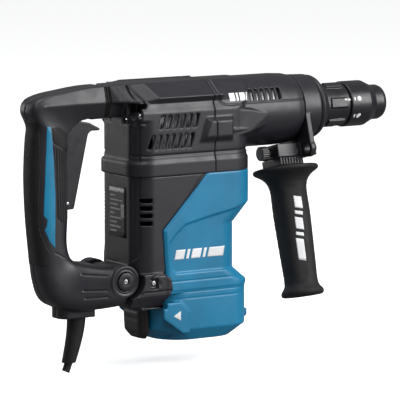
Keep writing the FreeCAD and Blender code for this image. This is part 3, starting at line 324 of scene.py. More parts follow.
def evaluated(obj, *others):
    """The object's mesh with its modifiers applied; the scratch objects are removed."""
    graph = bpy.context.evaluated_depsgraph_get()
    graph.update()
    mesh = bpy.data.meshes.new_from_object(obj.evaluated_get(graph), depsgraph=graph)
    for o in (obj, *others):
        old = o.data
        bpy.data.objects.remove(o)
        bpy.data.meshes.remove(old)
    return mesh


def solid_of(mesh):
    points = points_of(mesh)
    faces = [tuple(p.vertices) for p in mesh.polygons]
    bpy.data.meshes.remove(mesh)
    return points, faces


def combined(a, b, operation):
    """Exact Boolean of two closed solids."""
    obj, tool = scratch(a), scratch(b)
    modifier = obj.modifiers.new("combine", "BOOLEAN")
    modifier.object, modifier.operation, modifier.solver = tool, operation, "EXACT"
    return solid_of(evaluated(obj, tool))


def cut(solid, *tools):
    for tool in tools:
        solid = combined(solid, tool, "DIFFERENCE")
    return solid


def points_of(mesh):
    points = np.empty(len(mesh.vertices) * 3)
    mesh.vertices.foreach_get("co", points)
    return points.reshape(-1, 3)


def normals_of(mesh):
    normals = np.empty(len(mesh.vertices) * 3)
    mesh.vertices.foreach_get("normal", normals)
    return normals.reshape(-1, 3)


def put_points(mesh, points):
    mesh.vertices.foreach_set("co", points.ravel())
    mesh.update()


def relax(mesh, rounds):
    """Rounds edges off by moving each point halfway to the middle of its neighbours."""
    edges = np.empty(len(mesh.edges) * 2, np.int32)
    mesh.edges.foreach_get("vertices", edges)
    a, b = edges.reshape(-1, 2).T
    points = points_of(mesh)
    size = len(points)
    count = np.maximum(np.bincount(np.r_[a, b], minlength=size), 1)
    for _ in range(rounds):
        for k in range(3):
            axis = points[:, k]
            total = np.bincount(a, axis[b], size) + np.bincount(b, axis[a], size)
            points[:, k] = axis + 0.5 * (total / count - axis)
    put_points(mesh, points)


def moulded(solid, voxel=0.8, rounds=5, shaping=(), keep=0.6):
    """One even skin round a set of overlapping solids, with rounded edges and moulded-in relief."""
    obj = scratch(solid)
    skin = obj.modifiers.new("skin", "REMESH")
    skin.mode, skin.voxel_size = "VOXEL", voxel
    mesh = evaluated(obj)
    relax(mesh, rounds)
    for shape in shaping:
        points = points_of(mesh)
        put_points(mesh, points + shape(points, normals_of(mesh)))
    if shaping:
        relax(mesh, 1)
    if keep < 1.0:
        obj = bpy.data.objects.new("scratch", mesh)
        bpy.context.scene.collection.objects.link(obj)
        thin = obj.modifiers.new("thin", "DECIMATE")
        thin.ratio = keep
        mesh = evaluated(obj)
    return mesh


def piece(name, mesh, slot, body=None, replaces=(), material=None):
    """Adds a finished mesh, given in millimetres, as a piece on its body."""
    put_points(mesh, points_of(mesh) * MM)
    mesh.shade_smooth()
    mesh.materials.clear()
    mesh.materials.append(MATERIALS[material or slot])
    mesh.name = name
    obj = bpy.data.objects.new(name, mesh)
    bpy.context.scene.collection.objects.link(obj)
    if body:
        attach(obj, body)
    if replaces:
        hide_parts(*replaces)
    return obj


# ------------------------------------------------------------------ relief on the side faces
def smooth_step(value):
    t = np.clip(value, 0.0, 1.0)
    return t * t * (3 - 2 * t)


def line_distance(x, z, line, closed=False):
    """Distance from each point to a line of straight stretches."""
    corners = np.array(line, float)
    ends = np.roll(corners, -1, 0) if closed else corners[1:]
    best = np.full(len(x), 1e9)
    for a, b in zip(corners, ends):
        d = b - a
        t = np.clip(((x - a[0]) * d[0] + (z - a[1]) * d[1]) / (d @ d), 0, 1)
        best = np.minimum(best, np.hypot(x - a[0] - t * d[0], z - a[1] - t * d[1]))
    return best


def depth_inside(x, z, outline):
    """Distance to a closed outline, positive inside it."""
    corners = np.array(outline, float)
    inside = np.zeros(len(x), bool)
    for (ax, az), (bx, bz) in zip(corners, np.roll(corners, -1, 0)):
        if az != bz:
            crosses = ((az > z) != (bz > z)) & (x < (bx - ax) * (z - az) / (bz - az) + ax)
            inside ^= crosses
    distance = line_distance(x, z, outline, closed=True)
    return np.where(inside, distance, -distance)


def outer_side(points, normals):
    """1 on the outer side faces, 0 elsewhere."""
    outward = normals[:, 1] * np.sign(points[:, 1])
    return smooth_step((outward - 0.15) / 0.3)


def groove(line, width, depth):
    """Narrow line sunk into the side faces."""
    def shape(points, normals):
        near = 1 - line_distance(points[:, 0], points[:, 2], line) / width
        return -normals * (depth * smooth_step(near) * outer_side(points, normals))[:, None]
    return shape


def panel(outline, height, soft):
    """Area of the side faces raised by height, or sunk if height is negative."""
    def shape(points, normals):
        rise = smooth_step(depth_inside(points[:, 0], points[:, 2], outline) / soft)
        return normals * (height * rise * outer_side(points, normals))[:, None]
    return shape


def ring_on_y(x, z, radius, width, depth):
    """Turned groove in the side faces round an axis across the body."""
    def shape(points, normals):
        r = np.hypot(points[:, 0] - x, points[:, 2] - z)
        near = smooth_step(1 - np.abs(r - radius) / width)
        return -normals * (depth * near * outer_side(points, normals))[:, None]
    return shape


# ------------------------------------------------------------------ upper covers
def shoulder():
    """Overhang that leads the body's top into the narrow stub of the rear handle."""
    stations = ((STUB_END + 0.3, 17.4, 12.8, 35.4), (-327, 22.5, 13.2, 35.6), (-318, 29.8, 14, 35.8),
                (-312, 34.4, 15, 36), (-305, 35.4, 15.5, 36), (-289, 35.4, 15.5, 36))
    rings = []
    for x, half, top, rise in stations:
        edge = top + 3.5 * (x - STUB_END) / 45
        right = [(half, 17.6), (half, 19.6), (edge, rise - 0.7), (top - 2, rise)]
        ring = right + [(-y, z) for y, z in reversed(right)]
        rings.append(np.array([(x, y, z) for y, z in ring]))
    return loft(rings)


# Half sections of the raised panel, of the surface it rises from, and of the ridge behind it.
PANEL_SECTION = [(33, 14.5), (36.0, 16.2), (40.6, 22.5), (23.2, 36.6), (15, 33)]
FLUSH_SECTION = [(33, 14.5), (35.7, 16.4), (35.4, 19.6), (18.2, 35.3), (15, 33)]
RIDGE_SECTION = [(33, 14.5), (36.8, 16.0), (36.5, 20.1), (18.8, 36.4), (15, 33)]
PANEL_LEAN = 0.66


def slanted_ring(section, x_low):
    """Section across the body whose plane leans back as it rises."""
    return np.array([(x_low - (z - 14) * PANEL_LEAN, -y, z) for y, z in section])


def top_panel(x_low, x_front):
    """Raised panel along the top edge that ramps up from a slanted ridge behind it."""
    ramp = [slanted_ring(FLUSH_SECTION, x_low + 2), slanted_ring(PANEL_SECTION, x_low + 16.4)]
    ramp.append(np.array([(x_front, -y, z) for y, z in PANEL_SECTION]))
    ridge = loft([slanted_ring(RIDGE_SECTION, x_low - 1.1), slanted_ring(RIDGE_SECTION, x_low + 0.7)])
    return both(joined(loft(ramp), ridge))


BAND_GROOVE = [(-320, -34.4), (-178, -34.4)]
BARREL_SEAM = [(-224.5, 37), (-223.5, 22), (-221.5, 16.5), (-217, 13), (-211, 11.7), (-114, 11.7)]


def side_block():
    """Raised block across the seam of the two upper covers, with bevelled sides."""
    foot = [(-247, -24.5), (-207, -24.5), (-207, 1.5), (-238.5, 1.5)]
    face = [(-240.0, -18.5), (-209.5, -18.5), (-209.5, -3.5), (-234.0, -3.5)]
    rings = [np.array([(x, -BODY_HALF + 0.6, z) for x, z in foot]),
             np.array([(x, -BODY_HALF - 4.6, z) for x, z in face])]
    return both(loft(rings))


def barrel_blend():
    """Fills between the flat side of the body and the round barrel, with a ridge that dies out."""
    filler = loft([
        np.array([(-208, -30, -30), (-208, -40, -22), (-208, -40, 7), (-208, -30, 14)], float),
        np.array([(-186, -30, -26), (-186, -39.2, -17), (-186, -38.6, 5), (-186, -30, 12)], float),
        np.array([(-160, -30, -16), (-160, -34.8, -10), (-160, -36.3, 0), (-160, -30, 8)], float)])
    ridge = loft([
        np.array([(-210, -38, -18), (-210, -42.6, -14), (-210, -38, -9)], float),
        np.array([(-172, -35.4, -14.5), (-172, -37.0, -13.2), (-172, -35.4, -12)], float)])
    return both(joined(filler, ridge))


def split_pieces(solid, x):
    """The parts of a lofted extra behind and in front of the seam between the upper covers."""
    behind = combined(solid, block(-500, x, -80, 80, -80, 80), "INTERSECT")
    ahead = combined(solid, block(x, 0, -80, 80, -80, 80), "INTERSECT")
    return behind, ahead


ABOVE_FACETS = [(40.4, 8.4), (36.4, 17.2), (19.3, 35.3), (15, 36.4), (15, 50), (60, 50), (60, 8.4)]


def shoulder_recess(solid):
    """Deep hollow in the rear corners, under the shoulder, with a screw boss and a closed back."""
    opening = [(-330, 2.0), (-312.5, 2.0), (-312.5, 12.0), (-315, 16), (-318.5, 17.6), (-330, 17.6)]
    edge = [(-319, -5.5), (-319, 2.5), (-314.2, 2.5), (-315.4, 0.2)]
    tools = [
        extruded(opening, 1, -45, -18), block(-318, -305.5, -37.2, -18.5, 2.0, 17.2),
        block(-330, -312.5, -45, -31.6, -2.4, 3), extruded(edge, 1, -31, -11),
        extruded([(-y, z) for y, z in ABOVE_FACETS], 0, -330, COVER_SPLIT_X + 5)]
    wall = extruded([(-37, 0), (-39.9, 0), (-39.9, 8), (-36.2, 17), (-33.6, 17), (-37, 8)], 0, -313, -298)
    floor = block(-316.0, -305, -31.0, -17, -6.0, 2.0)
    plug = rod_y(-309, 6, 4.4, -39.6, -37.2)
    filled = moulded(joined(solid, both(joined(wall, floor, plug))), 0.6, 0, (), 1.0)
    boss = rod_y(-311.5, 4.8, 4.2, -34.6, -18)
    closed = [block(-306, -304.5, -37.6, -17, -1, 18), block(-317, -305, -18.5, -17, -1, 18), boss,
              block(-313, -305, -37.6, -30, -5, -2.4)]
    return joined(cut(solid_of(filled), *[both(tool) for tool in tools]), both(joined(*closed)))


UPPER_CORNER = [(-330, -40.4), (-311.4, -40.4), (-311.4, 0), (-330, 0)]
LOWER_CORNER = [(-330, -50), (-311.4, -50), (-311.4, -128), (-313, -135), (-318, -141), (-330, -143)]


def upper_covers():
    """Crank cover and barrel cover, which share the panel and block across their seam; gives the barrel's."""
    panel_rear, panel_front = split_pieces(top_panel(-303.3, -217), COVER_SPLIT_X)
    block_rear, block_front = split_pieces(side_block(), COVER_SPLIT_X)
    shaping = [groove(BAND_GROOVE, 1.7, 1.3), panel(UPPER_CORNER, -1.1, 1.0)]
    rear = shoulder_recess(cad("crank_housing_cover"))
    mesh = moulded(joined(rear, shoulder(), panel_rear, block_rear), 0.7, 3, shaping, 0.55)
    piece("crank_cover_skin", mesh, "black_shell", "body", ["crank_housing_cover"])
    shaping = [groove(BARREL_SEAM, 1.3, 0.8), groove(BAND_GROOVE, 1.7, 1.3)]
    solid = joined(cad("barrel_cover"), barrel_blend(), panel_front, block_front)
    mesh = moulded(solid, 0.7, 3, shaping, 0.55)
    return piece("barrel_cover_skin", mesh, "black_shell", "body", ["barrel_cover"])


# ------------------------------------------------------------------ motor covers
BLUE_EDGE = [(-237, -50), (-261, -80), (-289, -109), (-286, -150), (-286, -190)]
BRACKET_ARCH = [(-304, -157.5), (-301.5, -153.6), (-294, -151.9), (-286, -151.9), (-282, -155.5)]
CHAMFER_TOP, CHAMFER_SLOPE, CHAMFER_STEP = -173.6, 0.62, 0.8


def bracket_chamfer(points, normals):
    """Leads the lower half of the pivot brackets in towards the body."""
    x, z = points[:, 0], points[:, 2]
    depth = CHAMFER_SLOPE * np.clip(CHAMFER_TOP - z, 0, 12) + CHAMFER_STEP * smooth_step((-168.2 - z) / 0.9)
    outer = smooth_step((np.abs(points[:, 1]) - 34) / 8) * smooth_step((-270 - x) / 6)
    move = np.zeros_like(points)
    move[:, 1] = -np.sign(points[:, 1]) * depth * outer
    return move


def rear_skin():
    pocket = [(-304.8, -166.0), (-296.3, -166.0), (-296.3, -154.8), (-304.8, -154.8)]
    shaping = [
        bracket_chamfer,
        groove(BLUE_EDGE, 1.6, 0.6),
        panel(LOWER_CORNER, -1.1, 1.0),
        groove(BRACKET_ARCH, 2.0, 1.5),
        panel(pocket, -3.4, 0.9),
        groove([(-312, -168.4), (-281, -168.4)], 1.2, 0.8),
        groove([(-312, -174.2), (-284, -174.2)], 0.9, 0.5)]
    filled = both(rod_y(-296, -161, 3.8, -42.6, -39.5))
    mesh = moulded(joined(cad("rear_cover"), filled), 0.65, 3, shaping, 0.6)
    return piece("rear_cover_skin", mesh, "black_shell", "body", ["rear_cover"])


LOWER_PANEL = [(-165, -84), (-200, -90.5), (-232.4, -96.4), (-263.8, -103.3), (-275.7, -112.6),
               (-282.6, -121), (-283.2, -130), (-282.3, -140.2), (-280, -149), (-275, -154), (-165, -154)]
MOTOR_BEVEL, BEVEL_WIDTH = 1.6, 3.5


def motor_relief(points, normals):
    """Bevel that rises from the boundary with the rear cover."""
    rise = MOTOR_BEVEL * smooth_step(line_distance(points[:, 0], points[:, 2], BLUE_EDGE) / BEVEL_WIDTH)
    return normals * (rise * outer_side(points, normals))[:, None]


def motor_skin():
    upper_line, lower_line = [[(-300, z), (-178, z)] for z in (-160.7, -171.0)]
    shaping = [motor_relief, panel(LOWER_PANEL, -2.0, 2.6), groove(upper_line, 1.0, 0.6),
               groove(lower_line, 1.5, 1.0)]
    mesh = moulded(cad("motor_housing"), 0.7, 3, shaping, 0.55)
    return piece("motor_housing_skin", mesh, "blue_shell", "body", ["motor_housing"])


def bottom_skin():
    notch = [(-281, -222), (-273, -222), (-273, -214.5), (-281, -214.5)]
    step = [(-300, -178.6), (-176, -178.6)]
    shaping = [panel(notch, -2.2, 1.2), groove(step, 1.0, 0.5)]
    mesh = moulded(cad("bottom_cover"), 0.75, 4, shaping, 0.55)
    return piece("bottom_cover_skin", mesh, "blue_shell", "body", ["bottom_cover"])


def foot_skin():
    mesh = moulded(cad("rear_foot"), 0.7, 14)
    return piece("rear_foot_skin", mesh, "black_shell", "body", ["rear_foot"])


# ------------------------------------------------------------------ rear handle
# Sections down the D: outer x, outer z, inner x, inner z, half width, shape and place of the crease.
# Shape 0 is the six-sided top arm, 1 the oval grip and 2 the lower arm.
HANDLE_SECTIONS = np.array([
    (-340.0, 35.2, -340.0, 2.5, 17.5, 0.0, 0.0), (-358.0, 34.6, -356.0, 2.2, 17.5, 0.0, 0.03),
    (-382.0, 31.8, -366.5, 0.0, 17.5, 0.0, 0.20), (-404.0, 28.4, -373.0, -6.0, 17.4, 0.0, 0.45),
    (-418.0, 23.0, -375.5, -11.0, 17.2, 0.15, 0.72), (-422.5, 13.0, -377.0, -17.0, 17.0, 0.45, 0.8),
    (-417.6, -1.0, -377.8, -24.0, 17.0, 0.9, 0.8), (-419.0, -14.0, -378.3, -31.5, 17.0, 1.0, 0.8),
    (-420.4, -34.0, -378.3, -45.0, 17.0, 1.0, 0.8), (-421.0, -56.0, -377.8, -62.0, 17.0, 1.0, 0.8),
    (-419.5, -90.0, -378.5, -91.0, 17.0, 1.0, 0.8), (-416.0, -122.0, -380.0, -118.0, 17.2, 1.1, 0.8),
    (-411.0, -155.0, -376.0, -133.0, 18.0, 1.5, 0.8), (-400.0, -176.0, -366.0, -138.0, 22.0, 2.0, 0.8),
    (-378.0, -185.0, -356.0, -140.0, 29.0, 2.0, 0.8), (-355.0, -185.0, -346.0, -141.0, 34.0, 2.0, 0.8),
    (-338.0, -184.0, -336.0, -141.0, 36.0, 2.0, 0.8), (-327.0, -183.0, -330.0, -141.8, 36.0, 2.0, 0.8)])
RING_POINTS = 72


def hexagon_reach(turns, crease):
    """Distance from the centre to a six-sided section with its side edges at crease."""
    corners = [(1.0, 0.76), (crease, 1.0), (-1.0, 0.66), (-1.0, -0.66), (crease, -1.0), (1.0, -0.76)]
    reach = np.full(len(turns), 9.0)
    for (u0, v0), (u1, v1) in zip(corners, corners[1:] + corners[:1]):
        nu, nv = v1 - v0, u0 - u1
        level = nu * u0 + nv * v0
        if level < 0:
            nu, nv, level = -nu, -nv, -level
        facing = nu * np.cos(turns) + nv * np.sin(turns)
        reach = np.where(facing > 1e-6, np.minimum(reach, level / np.maximum(facing, 1e-6)), reach)
    return reach


def oval_reach(turns, power):
    return (np.abs(np.cos(turns)) ** power + np.abs(np.sin(turns)) ** power) ** (-1 / power)


def section_at(share):
    """Handle section at a share of the way down, smoothly between the given ones."""
    last = len(HANDLE_SECTIONS) - 1
    i = min(int(share * last), last - 1)
    t = share * last - i
    p0, p1 = HANDLE_SECTIONS[max(i - 1, 0)], HANDLE_SECTIONS[i]
    p2, p3 = HANDLE_SECTIONS[i + 1], HANDLE_SECTIONS[min(i + 2, last)]
    return 0.5 * (2 * p1 + (p2 - p0) * t + (2 * p0 - 5 * p1 + 4 * p2 - p3) * t ** 2
                  + (3 * p1 - p0 - 3 * p2 + p3) * t ** 3)


def handle_ring(share, inset):
    """Points round one section of the handle, drawn in by inset."""
    ox, oz, ix, iz, half, kind, crease = section_at(share)
    turns = np.linspace(0, 2 * math.pi, RING_POINTS, endpoint=False)
    grip = oval_reach(turns, 2.6)
    if kind < 1:
        reach = hexagon_reach(turns, crease) * (1 - kind) + grip * kind
    else:
        reach = grip * (2 - kind) + oval_reach(turns, 4.2) * (kind - 1)
    length = math.hypot(ox - ix, oz - iz)
    along = np.array([(ox - ix) / length, 0, (oz - iz) / length])
    middle = np.array([(ox + ix) / 2, 0, (oz + iz) / 2])
    u = np.cos(turns) * reach * (length / 2 - inset)
    v = np.sin(turns) * reach * (half - inset)
    return middle + np.outer(u, along) + np.outer(v, (0, 1, 0))


def handle_limb(inset, first=0.0, last=1.0, count=110):
    return loft([handle_ring(first + (last - first) * i / (count - 1), inset) for i in range(count)])


def handle_casing():
    """Hollow D-handle with the trigger's slot, the pivot cheeks and the cord block."""
    cord_block = extruded(rounded_box_outline(-389.5, -343.5, 13, 9), 2, -193, -174)
    outside = combined(handle_limb(0.0), rod_y(PIVOT_X, PIVOT_Z, CHEEK_R, -CHEEK_HALF, CHEEK_HALF), "UNION")
    outside = combined(outside, cord_block, "UNION")
    hollow = handle_limb(SKIN_T, 0.02, 0.80)
    return cut(
        outside, hollow, block(-351, -300, -LUG_HALF - 1, LUG_HALF + 1, -205, -125),
        block(-392, -354, -11.5, 11.5, -87.5, 5.5),
        rod_y(PIVOT_X, PIVOT_Z, 5.1, -60, 60),
        rod_y(PIVOT_X, PIVOT_Z, 9.5, -60, -CHEEK_HALF + 4), rod_y(PIVOT_X, PIVOT_Z, 9.5, CHEEK_HALF - 4, 60),
        extruded(round_outline(-365.5, 0, 8.7), 2, -194, -168))


ARM_GROOVES = [[(-372, -148), (-349, -150)], [(-373, -163.5), (-349.5, -164)], [(-372, -171), (-349, -170.5)]]
STRIPE = [(-407, -1), (-409, -38), (-410.5, -72), (-411, -88), (-407.5, -92), (-408, -98), (-410, -102),
          (-405, -114), (-399, -121), (-398.3, -72), (-399.8, -38), (-402.5, -1)]
RIBBED = [(-400.8, -19), (-386, -27), (-377.5, -29), (-370, -90), (-390, -97), (-396.6, -90),
          (-397, -72), (-398.6, -38)]
RIB_PITCH, RIB_HEIGHT, RIB_LEAN = 2.9, 0.42, 0.03
FRONT_PAD = [(-401.6, -3), (-394, -1.5), (-381.5, -9), (-378, -26.5), (-386, -25), (-400.2, -17.2)]
REAR_PAD = [(-440, 4), (-413.5, 4), (-413.2, -38), (-414.6, -72), (-415, -90), (-413.5, -104),
            (-408.5, -117), (-403.5, -126), (-404, -138), (-440, -138)]


def handle_halves():
    casing = handle_casing()
    grooves = [groove(line, 1.3, 0.9) for line in ARM_GROOVES]
    crease = groove([(-398.5, -125), (-384, -133), (-374, -136)], 1.0, 0.4)
    shaping = grooves + [crease, ring_on_y(PIVOT_X, PIVOT_Z, 12.0, 1.1, 0.9)]
    for name, side in (("left", LEFT), ("right", RIGHT)):
        y0, y1 = (0.12, 60) if side == LEFT else (-60, -0.12)
        half = combined(casing, block(-450, -300, y0, y1, -210, 60), "INTERSECT")
        mesh = moulded(half, 0.7, 3, shaping, 0.6)
        piece(f"handle_shell_{name}", mesh, "black_shell", "rear_handle", [f"handle_{name}"])


def over_grip(outline, lift, sink, y0, y1):
    """Part of a skin on the grip, inside an outline seen from the side."""
    skin = combined(handle_limb(-lift, 0.12, 0.86, 90), handle_limb(sink, 0.11, 0.87, 90), "DIFFERENCE")
    return combined(skin, extruded(outline, 1, y0, y1), "INTERSECT")


def rib_relief(points, normals):
    """Upright ribs moulded into the rubber."""
    wave = np.cos((points[:, 0] + RIB_LEAN * points[:, 2]) * 2 * math.pi / RIB_PITCH)
    inside = smooth_step(depth_inside(points[:, 0], points[:, 2], RIBBED) / 1.6)
    return normals * (RIB_HEIGHT * wave * inside * outer_side(points, normals))[:, None]


def grip_rubber():
    inlay = joined(*[over_grip(STRIPE, 0.3, 1.4, *span) for span in ((-30, -5), (5, 30))])
    piece("grip_inlay_skin", moulded(inlay, 0.45, 2, (), 0.5), "blue_inlay", "rear_handle", ["grip_inlays"])
    rear = moulded(over_grip(REAR_PAD, 0.35, 1.5, -30, 30), 0.7, 3)
    piece("grip_back_rubber", rear, "black_rubber", "rear_handle", ["grip_pad"])
    ribbed = joined(*[over_grip(RIBBED, 0.25, 1.4, *span) for span in ((-30, -12.3), (12.3, 30))])
    piece("grip_ribbed_rubber", moulded(ribbed, 0.45, 2, [rib_relief]), "black_rubber", "rear_handle")
    pads = joined(*[over_grip(FRONT_PAD, 0.5, 1.4, *span) for span in ((-30, -12.3), (12.3, 30))])
    piece("grip_thumb_rubber", moulded(pads, 0.5, 3), "black_rubber", "rear_handle")


def trigger_skin():
    mesh = moulded(cad("trigger"), 0.45, 5)
    return piece("trigger_skin", mesh, "chuck_black", "trigger", ["trigger"])


BELLOWS_AXIS_Z = 19.0
BELLOWS_FOLDS, FOLD_INSET, FOLD_DEPTH = 2.5, 1.5, 0.9


def bellows_skin():
    """Folded rubber sleeve from the body's stub to the handle's top arm."""
    rings = []
    count = 25
    for i in range(count):
        share = i / (count - 1)
        x = ARM_END - 0.6 + (STUB_END + 0.8 - ARM_END + 0.4) * share
        inset = FOLD_INSET + FOLD_DEPTH * math.cos(share * 2 * math.pi * BELLOWS_FOLDS)
        ring = handle_ring(0.0, inset)
        ring[:, 0] = x
        rings.append(ring)
    middle = np.array([0, 0, BELLOWS_AXIS_Z])
    inner = [(ring - middle) * (1, 0.78, 0.78) + middle for ring in rings]
    n = len(rings[0])
    points = np.vstack(rings + inner[::-1])
    faces = []
    total = 2 * count
    for i in range(total):
        a, b = i * n, ((i + 1) % total) * n
        faces += [(a + j, a + (j + 1) % n, b + (j + 1) % n, b + j) for j in range(n)]
    mesh = moulded((points, faces), 0.35, 1, (), 0.7)
    obj = piece("bellows_rubber", mesh, "black_rubber", None, ["bellows"])
    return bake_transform(obj)


# ------------------------------------------------------------------ side handle and chuck
def on_side_axis(t, across, forward):
    """Point t down the side handle's axis."""
    y = -t * math.sin(SIDE_TILT) + across * math.cos(SIDE_TILT)
    z = -t * math.cos(SIDE_TILT) - across * math.sin(SIDE_TILT)
    return SIDE_X + forward, y, z


# Flange, waist, hand grip, end bead and cavity, as distance down the axis and radius.
GRIP_PROFILE = [
    (61.2, 30.5), (61.6, 32.6), (63.0, 33.6), (65.0, 33.6), (66.6, 32.0), (68.2, 29.0), (70.5, 25.6),
    (73.5, 22.6), (77.0, 20.4), (82.0, 19.1), (90.0, 18.9), (100.0, 19.15), (107.0, 19.25),
    (118.0, 19.1), (133.0, 18.7), (146.0, 18.3), (159.0, 17.9), (170.0, 17.45), (177.0, 17.2),
    (181.0, 17.4), (184.0, 18.6), (186.5, 20.7), (188.2, 21.8), (190.4, 21.9), (192.0, 21.2),
    (193.0, 19.6), (193.0, 14.2), (192.2, 13.4), (190.0, 13.0), (189.6, 8.6), (188.8, 8.0),
    (97.5, 8.0), (97.0, 7.4), (97.0, 5.2), (61.2, 5.2)]


def grip_facets(points, normals):
    """Flats down the grip and shallow finger grooves on its back."""
    t = -points[:, 1] * math.sin(SIDE_TILT) - points[:, 2] * math.cos(SIDE_TILT)
    across = points[:, 1] * math.cos(SIDE_TILT) - points[:, 2] * math.sin(SIDE_TILT)
    forward = points[:, 0] - SIDE_X
    turn = np.arctan2(across, forward)
    radius = np.hypot(across, forward)
    outside = smooth_step((radius - 14) / 2)
    along = smooth_step((t - 80) / 6) * smooth_step((178 - t) / 6)
    flats = 0.55 * np.cos(6 * (turn + math.radians(77)))
    behind = smooth_step((np.cos(turn - math.radians(90)) - 0.2) / 0.3)
    ribs = 0.3 * smooth_step(1 - np.abs((t - 92) % 9.5 - 4.75) / 1.6) * behind
    return normals * ((flats * 0.7 - 0.3 - ribs) * outside * along)[:, None]


def side_grip_skin():
    solid = turned(GRIP_PROFILE, on_side_axis, 120)
    mesh = moulded(solid, 0.6, 3, [grip_facets], 0.6)
    return piece("side_grip_skin", mesh, "black_rubber", "side_grip", ["side_grip"])


SMALL_SKINS = [
    # node, piece, slot, body, voxel, rounds
    ("side_clamp", "side_clamp_skin", "black_shell", "side_clamp", 0.6, 4),
    ("side_collar", "side_collar_skin", "black_shell", "side_clamp", 0.4, 2),
    ("gauge_button", "gauge_button_skin", "grey_button", "gauge_button", 0.35, 2),
    ("mode_knob", "mode_knob_skin", "chuck_black", "mode_knob", 0.5, 3),
    ("nose_cone", "nose_cone_skin", "black_shell", "body", 0.5, 3),
    ("neck_cover", "neck_cover_skin", "chuck_black", "spindle", 0.4, 3),
    ("lock_ring", "lock_ring_skin", "chuck_black", "lock_ring", 0.4, 2),
    ("chuck_sleeve", "chuck_sleeve_skin", "chuck_black", "chuck_sleeve", 0.4, 3),
    ("dust_cap", "dust_cap_skin", "black_rubber", "spindle", 0.3, 3),
]


def small_skins():
    made = {}
    for node, name, slot, body, voxel, rounds in SMALL_SKINS:
        made[node] = piece(name, moulded(cad(node), voxel, rounds, (), 0.5), slot, body, [node])
    return made


# ------------------------------------------------------------------ printed marks and small parts
def surface_of(obj):
    """Search tree of a piece's faces, in millimetres."""
    mesh = obj.data
    faces = [tuple(p.vertices) for p in mesh.polygons]
    return BVHTree.FromPolygons([v.co / MM for v in mesh.vertices], faces)


MARK_MESH_SIDE, MARK_SINK = 1.6, 0.1
INK_SLOT = "grey_button"     # the light grey of the record is the nearest slot to white ink


def printed(name, outlines, target, ray, slot, body, material="print", thickness=0.14):
    """Thin film in the shape of flat outlines, laid on the surface that each ray meets."""
    tree = surface_of(target)
    bm = bmesh.new()
    for outline in outlines:
        bm.faces.new([bm.verts.new((u, v, 0)) for u, v in outline])
    bmesh.ops.triangulate(bm, faces=bm.faces)
    for _ in range(3):
        long_edges = [e for e in bm.edges if e.calc_length() > MARK_MESH_SIDE]
        if long_edges:
            bmesh.ops.subdivide_edges(bm, edges=long_edges, cuts=1)
            bmesh.ops.triangulate(bm, faces=bm.faces)
    bm.verts.ensure_lookup_table()
    bm.verts.index_update()
    top, low = [], []
    for v in bm.verts:
        origin, direction = ray(v.co.x, v.co.y)
        hit, normal, _, _ = tree.ray_cast(Vector(origin), Vector(direction).normalized())
        if hit is None:
            raise ValueError(f"{name}: the mark misses the surface")
        if normal.dot(Vector(direction)) > 0:
            normal = -normal
        top.append(tuple(hit + normal * thickness))
        low.append(tuple(hit - normal * MARK_SINK))
    n = len(top)
    faces = [tuple(v.index for v in f.verts) for f in bm.faces]
    back = [tuple(i + n for i in face[::-1]) for face in faces]
    walls = []
    for e in bm.edges:
        if e.is_boundary:
            a, b = e.verts[0].index, e.verts[1].index
            walls.append((a, b, b + n, a + n))
    bm.free()
    solid = scratch((np.array(top + low), faces + back + walls))
    return piece(name, evaluated(solid), slot, body, (), material)


def from_side(side):
    return lambda u, v: ((u, side * 130.0, v), (0, -side, 0))


def slanted_bar(x, z, width, height, lean=1.6):
    return [(x, z), (x + width, z), (x + width + lean, z + height), (x + lean, z + height)]


def bar_row(x, z, widths, gap, height, lean=1.6):
    bars = []
    for width in widths:
        bars.append(slanted_bar(x, z, width, height, lean))
        x += width + gap
    return bars


def radial_ray(r_far):
    """Rays to the spindle axis: u along the axis, v the angle in degrees above the right-hand side."""
    def ray(u, v):
        turn = math.radians(v)
        direction = (0, math.cos(turn), -math.sin(turn))
        return (u, -r_far * math.cos(turn), r_far * math.sin(turn)), direction
    return ray


GRIP_MARK_TURN, GRIP_MARK_R = math.radians(-98), 18.7


def grip_ray(u, v):
    """Rays to the side handle's axis: u round the grip in millimetres, v down the grip."""
    turn = GRIP_MARK_TURN + u / GRIP_MARK_R
    origin = on_side_axis(v, 60 * math.sin(turn), 60 * math.cos(turn))
    return origin, Vector(on_side_axis(v, 0, 0)) - Vector(origin)


def marks(skins, motor, bottom, barrel, grip):
    side = from_side(RIGHT)
    blue_bars = bar_row(-276, -139, (11, 3.2, 11, 3.2, 19), 2.6, 9.5, 2.4)
    printed("motor_side_mark", blue_bars, motor, side, INK_SLOT, "body")
    barrel_bars = bar_row(-208.5, 14.6, (6.5, 2.4, 6.5, 2.4), 1.7, 7.6, 2.0)
    printed("barrel_mark", barrel_bars, barrel, side, INK_SLOT, "body")
    arrow = [(-279, -195), (-270.5, -190.2), (-270.5, -199.8)]
    printed("base_arrow", [arrow], bottom, side, INK_SLOT, "body")
    grip_bars = [[(v - 4.2 - 0.9 * k, u) for u, v in slanted_bar(92 + start, 0, width, 8.4, 2.0)]
                 for k, (start, width) in enumerate(((0, 12), (15, 3.5), (21.5, 12), (36.5, 3.5), (43, 22)))]
    printed("side_grip_mark", grip_bars, grip, grip_ray, INK_SLOT, "side_grip")
    index_line = [[(-58.4, 14.6), (-49.6, 14.6), (-49.6, 19.8), (-58.4, 19.8)]]
    printed("index_line", index_line, skins["neck_cover"], radial_ray(40), INK_SLOT, "spindle")
    ring_marks = []
    around = np.linspace(0, 2 * math.pi, 20, endpoint=False)
    for angle, turned_dot in ((17.5, 0.0), (-27.0, 0.4)):
        dot = [(-39.8 + 2.7 * math.cos(t), angle + 6.6 * math.sin(t + turned_dot)) for t in around]
        ring_marks += [dot, [(-46.0, angle - 4), (-44.2, angle - 4), (-44.2, angle + 4), (-46.0, angle + 4)]]
    printed("ring_marks", ring_marks, skins["lock_ring"], radial_ray(40), INK_SLOT, "lock_ring")


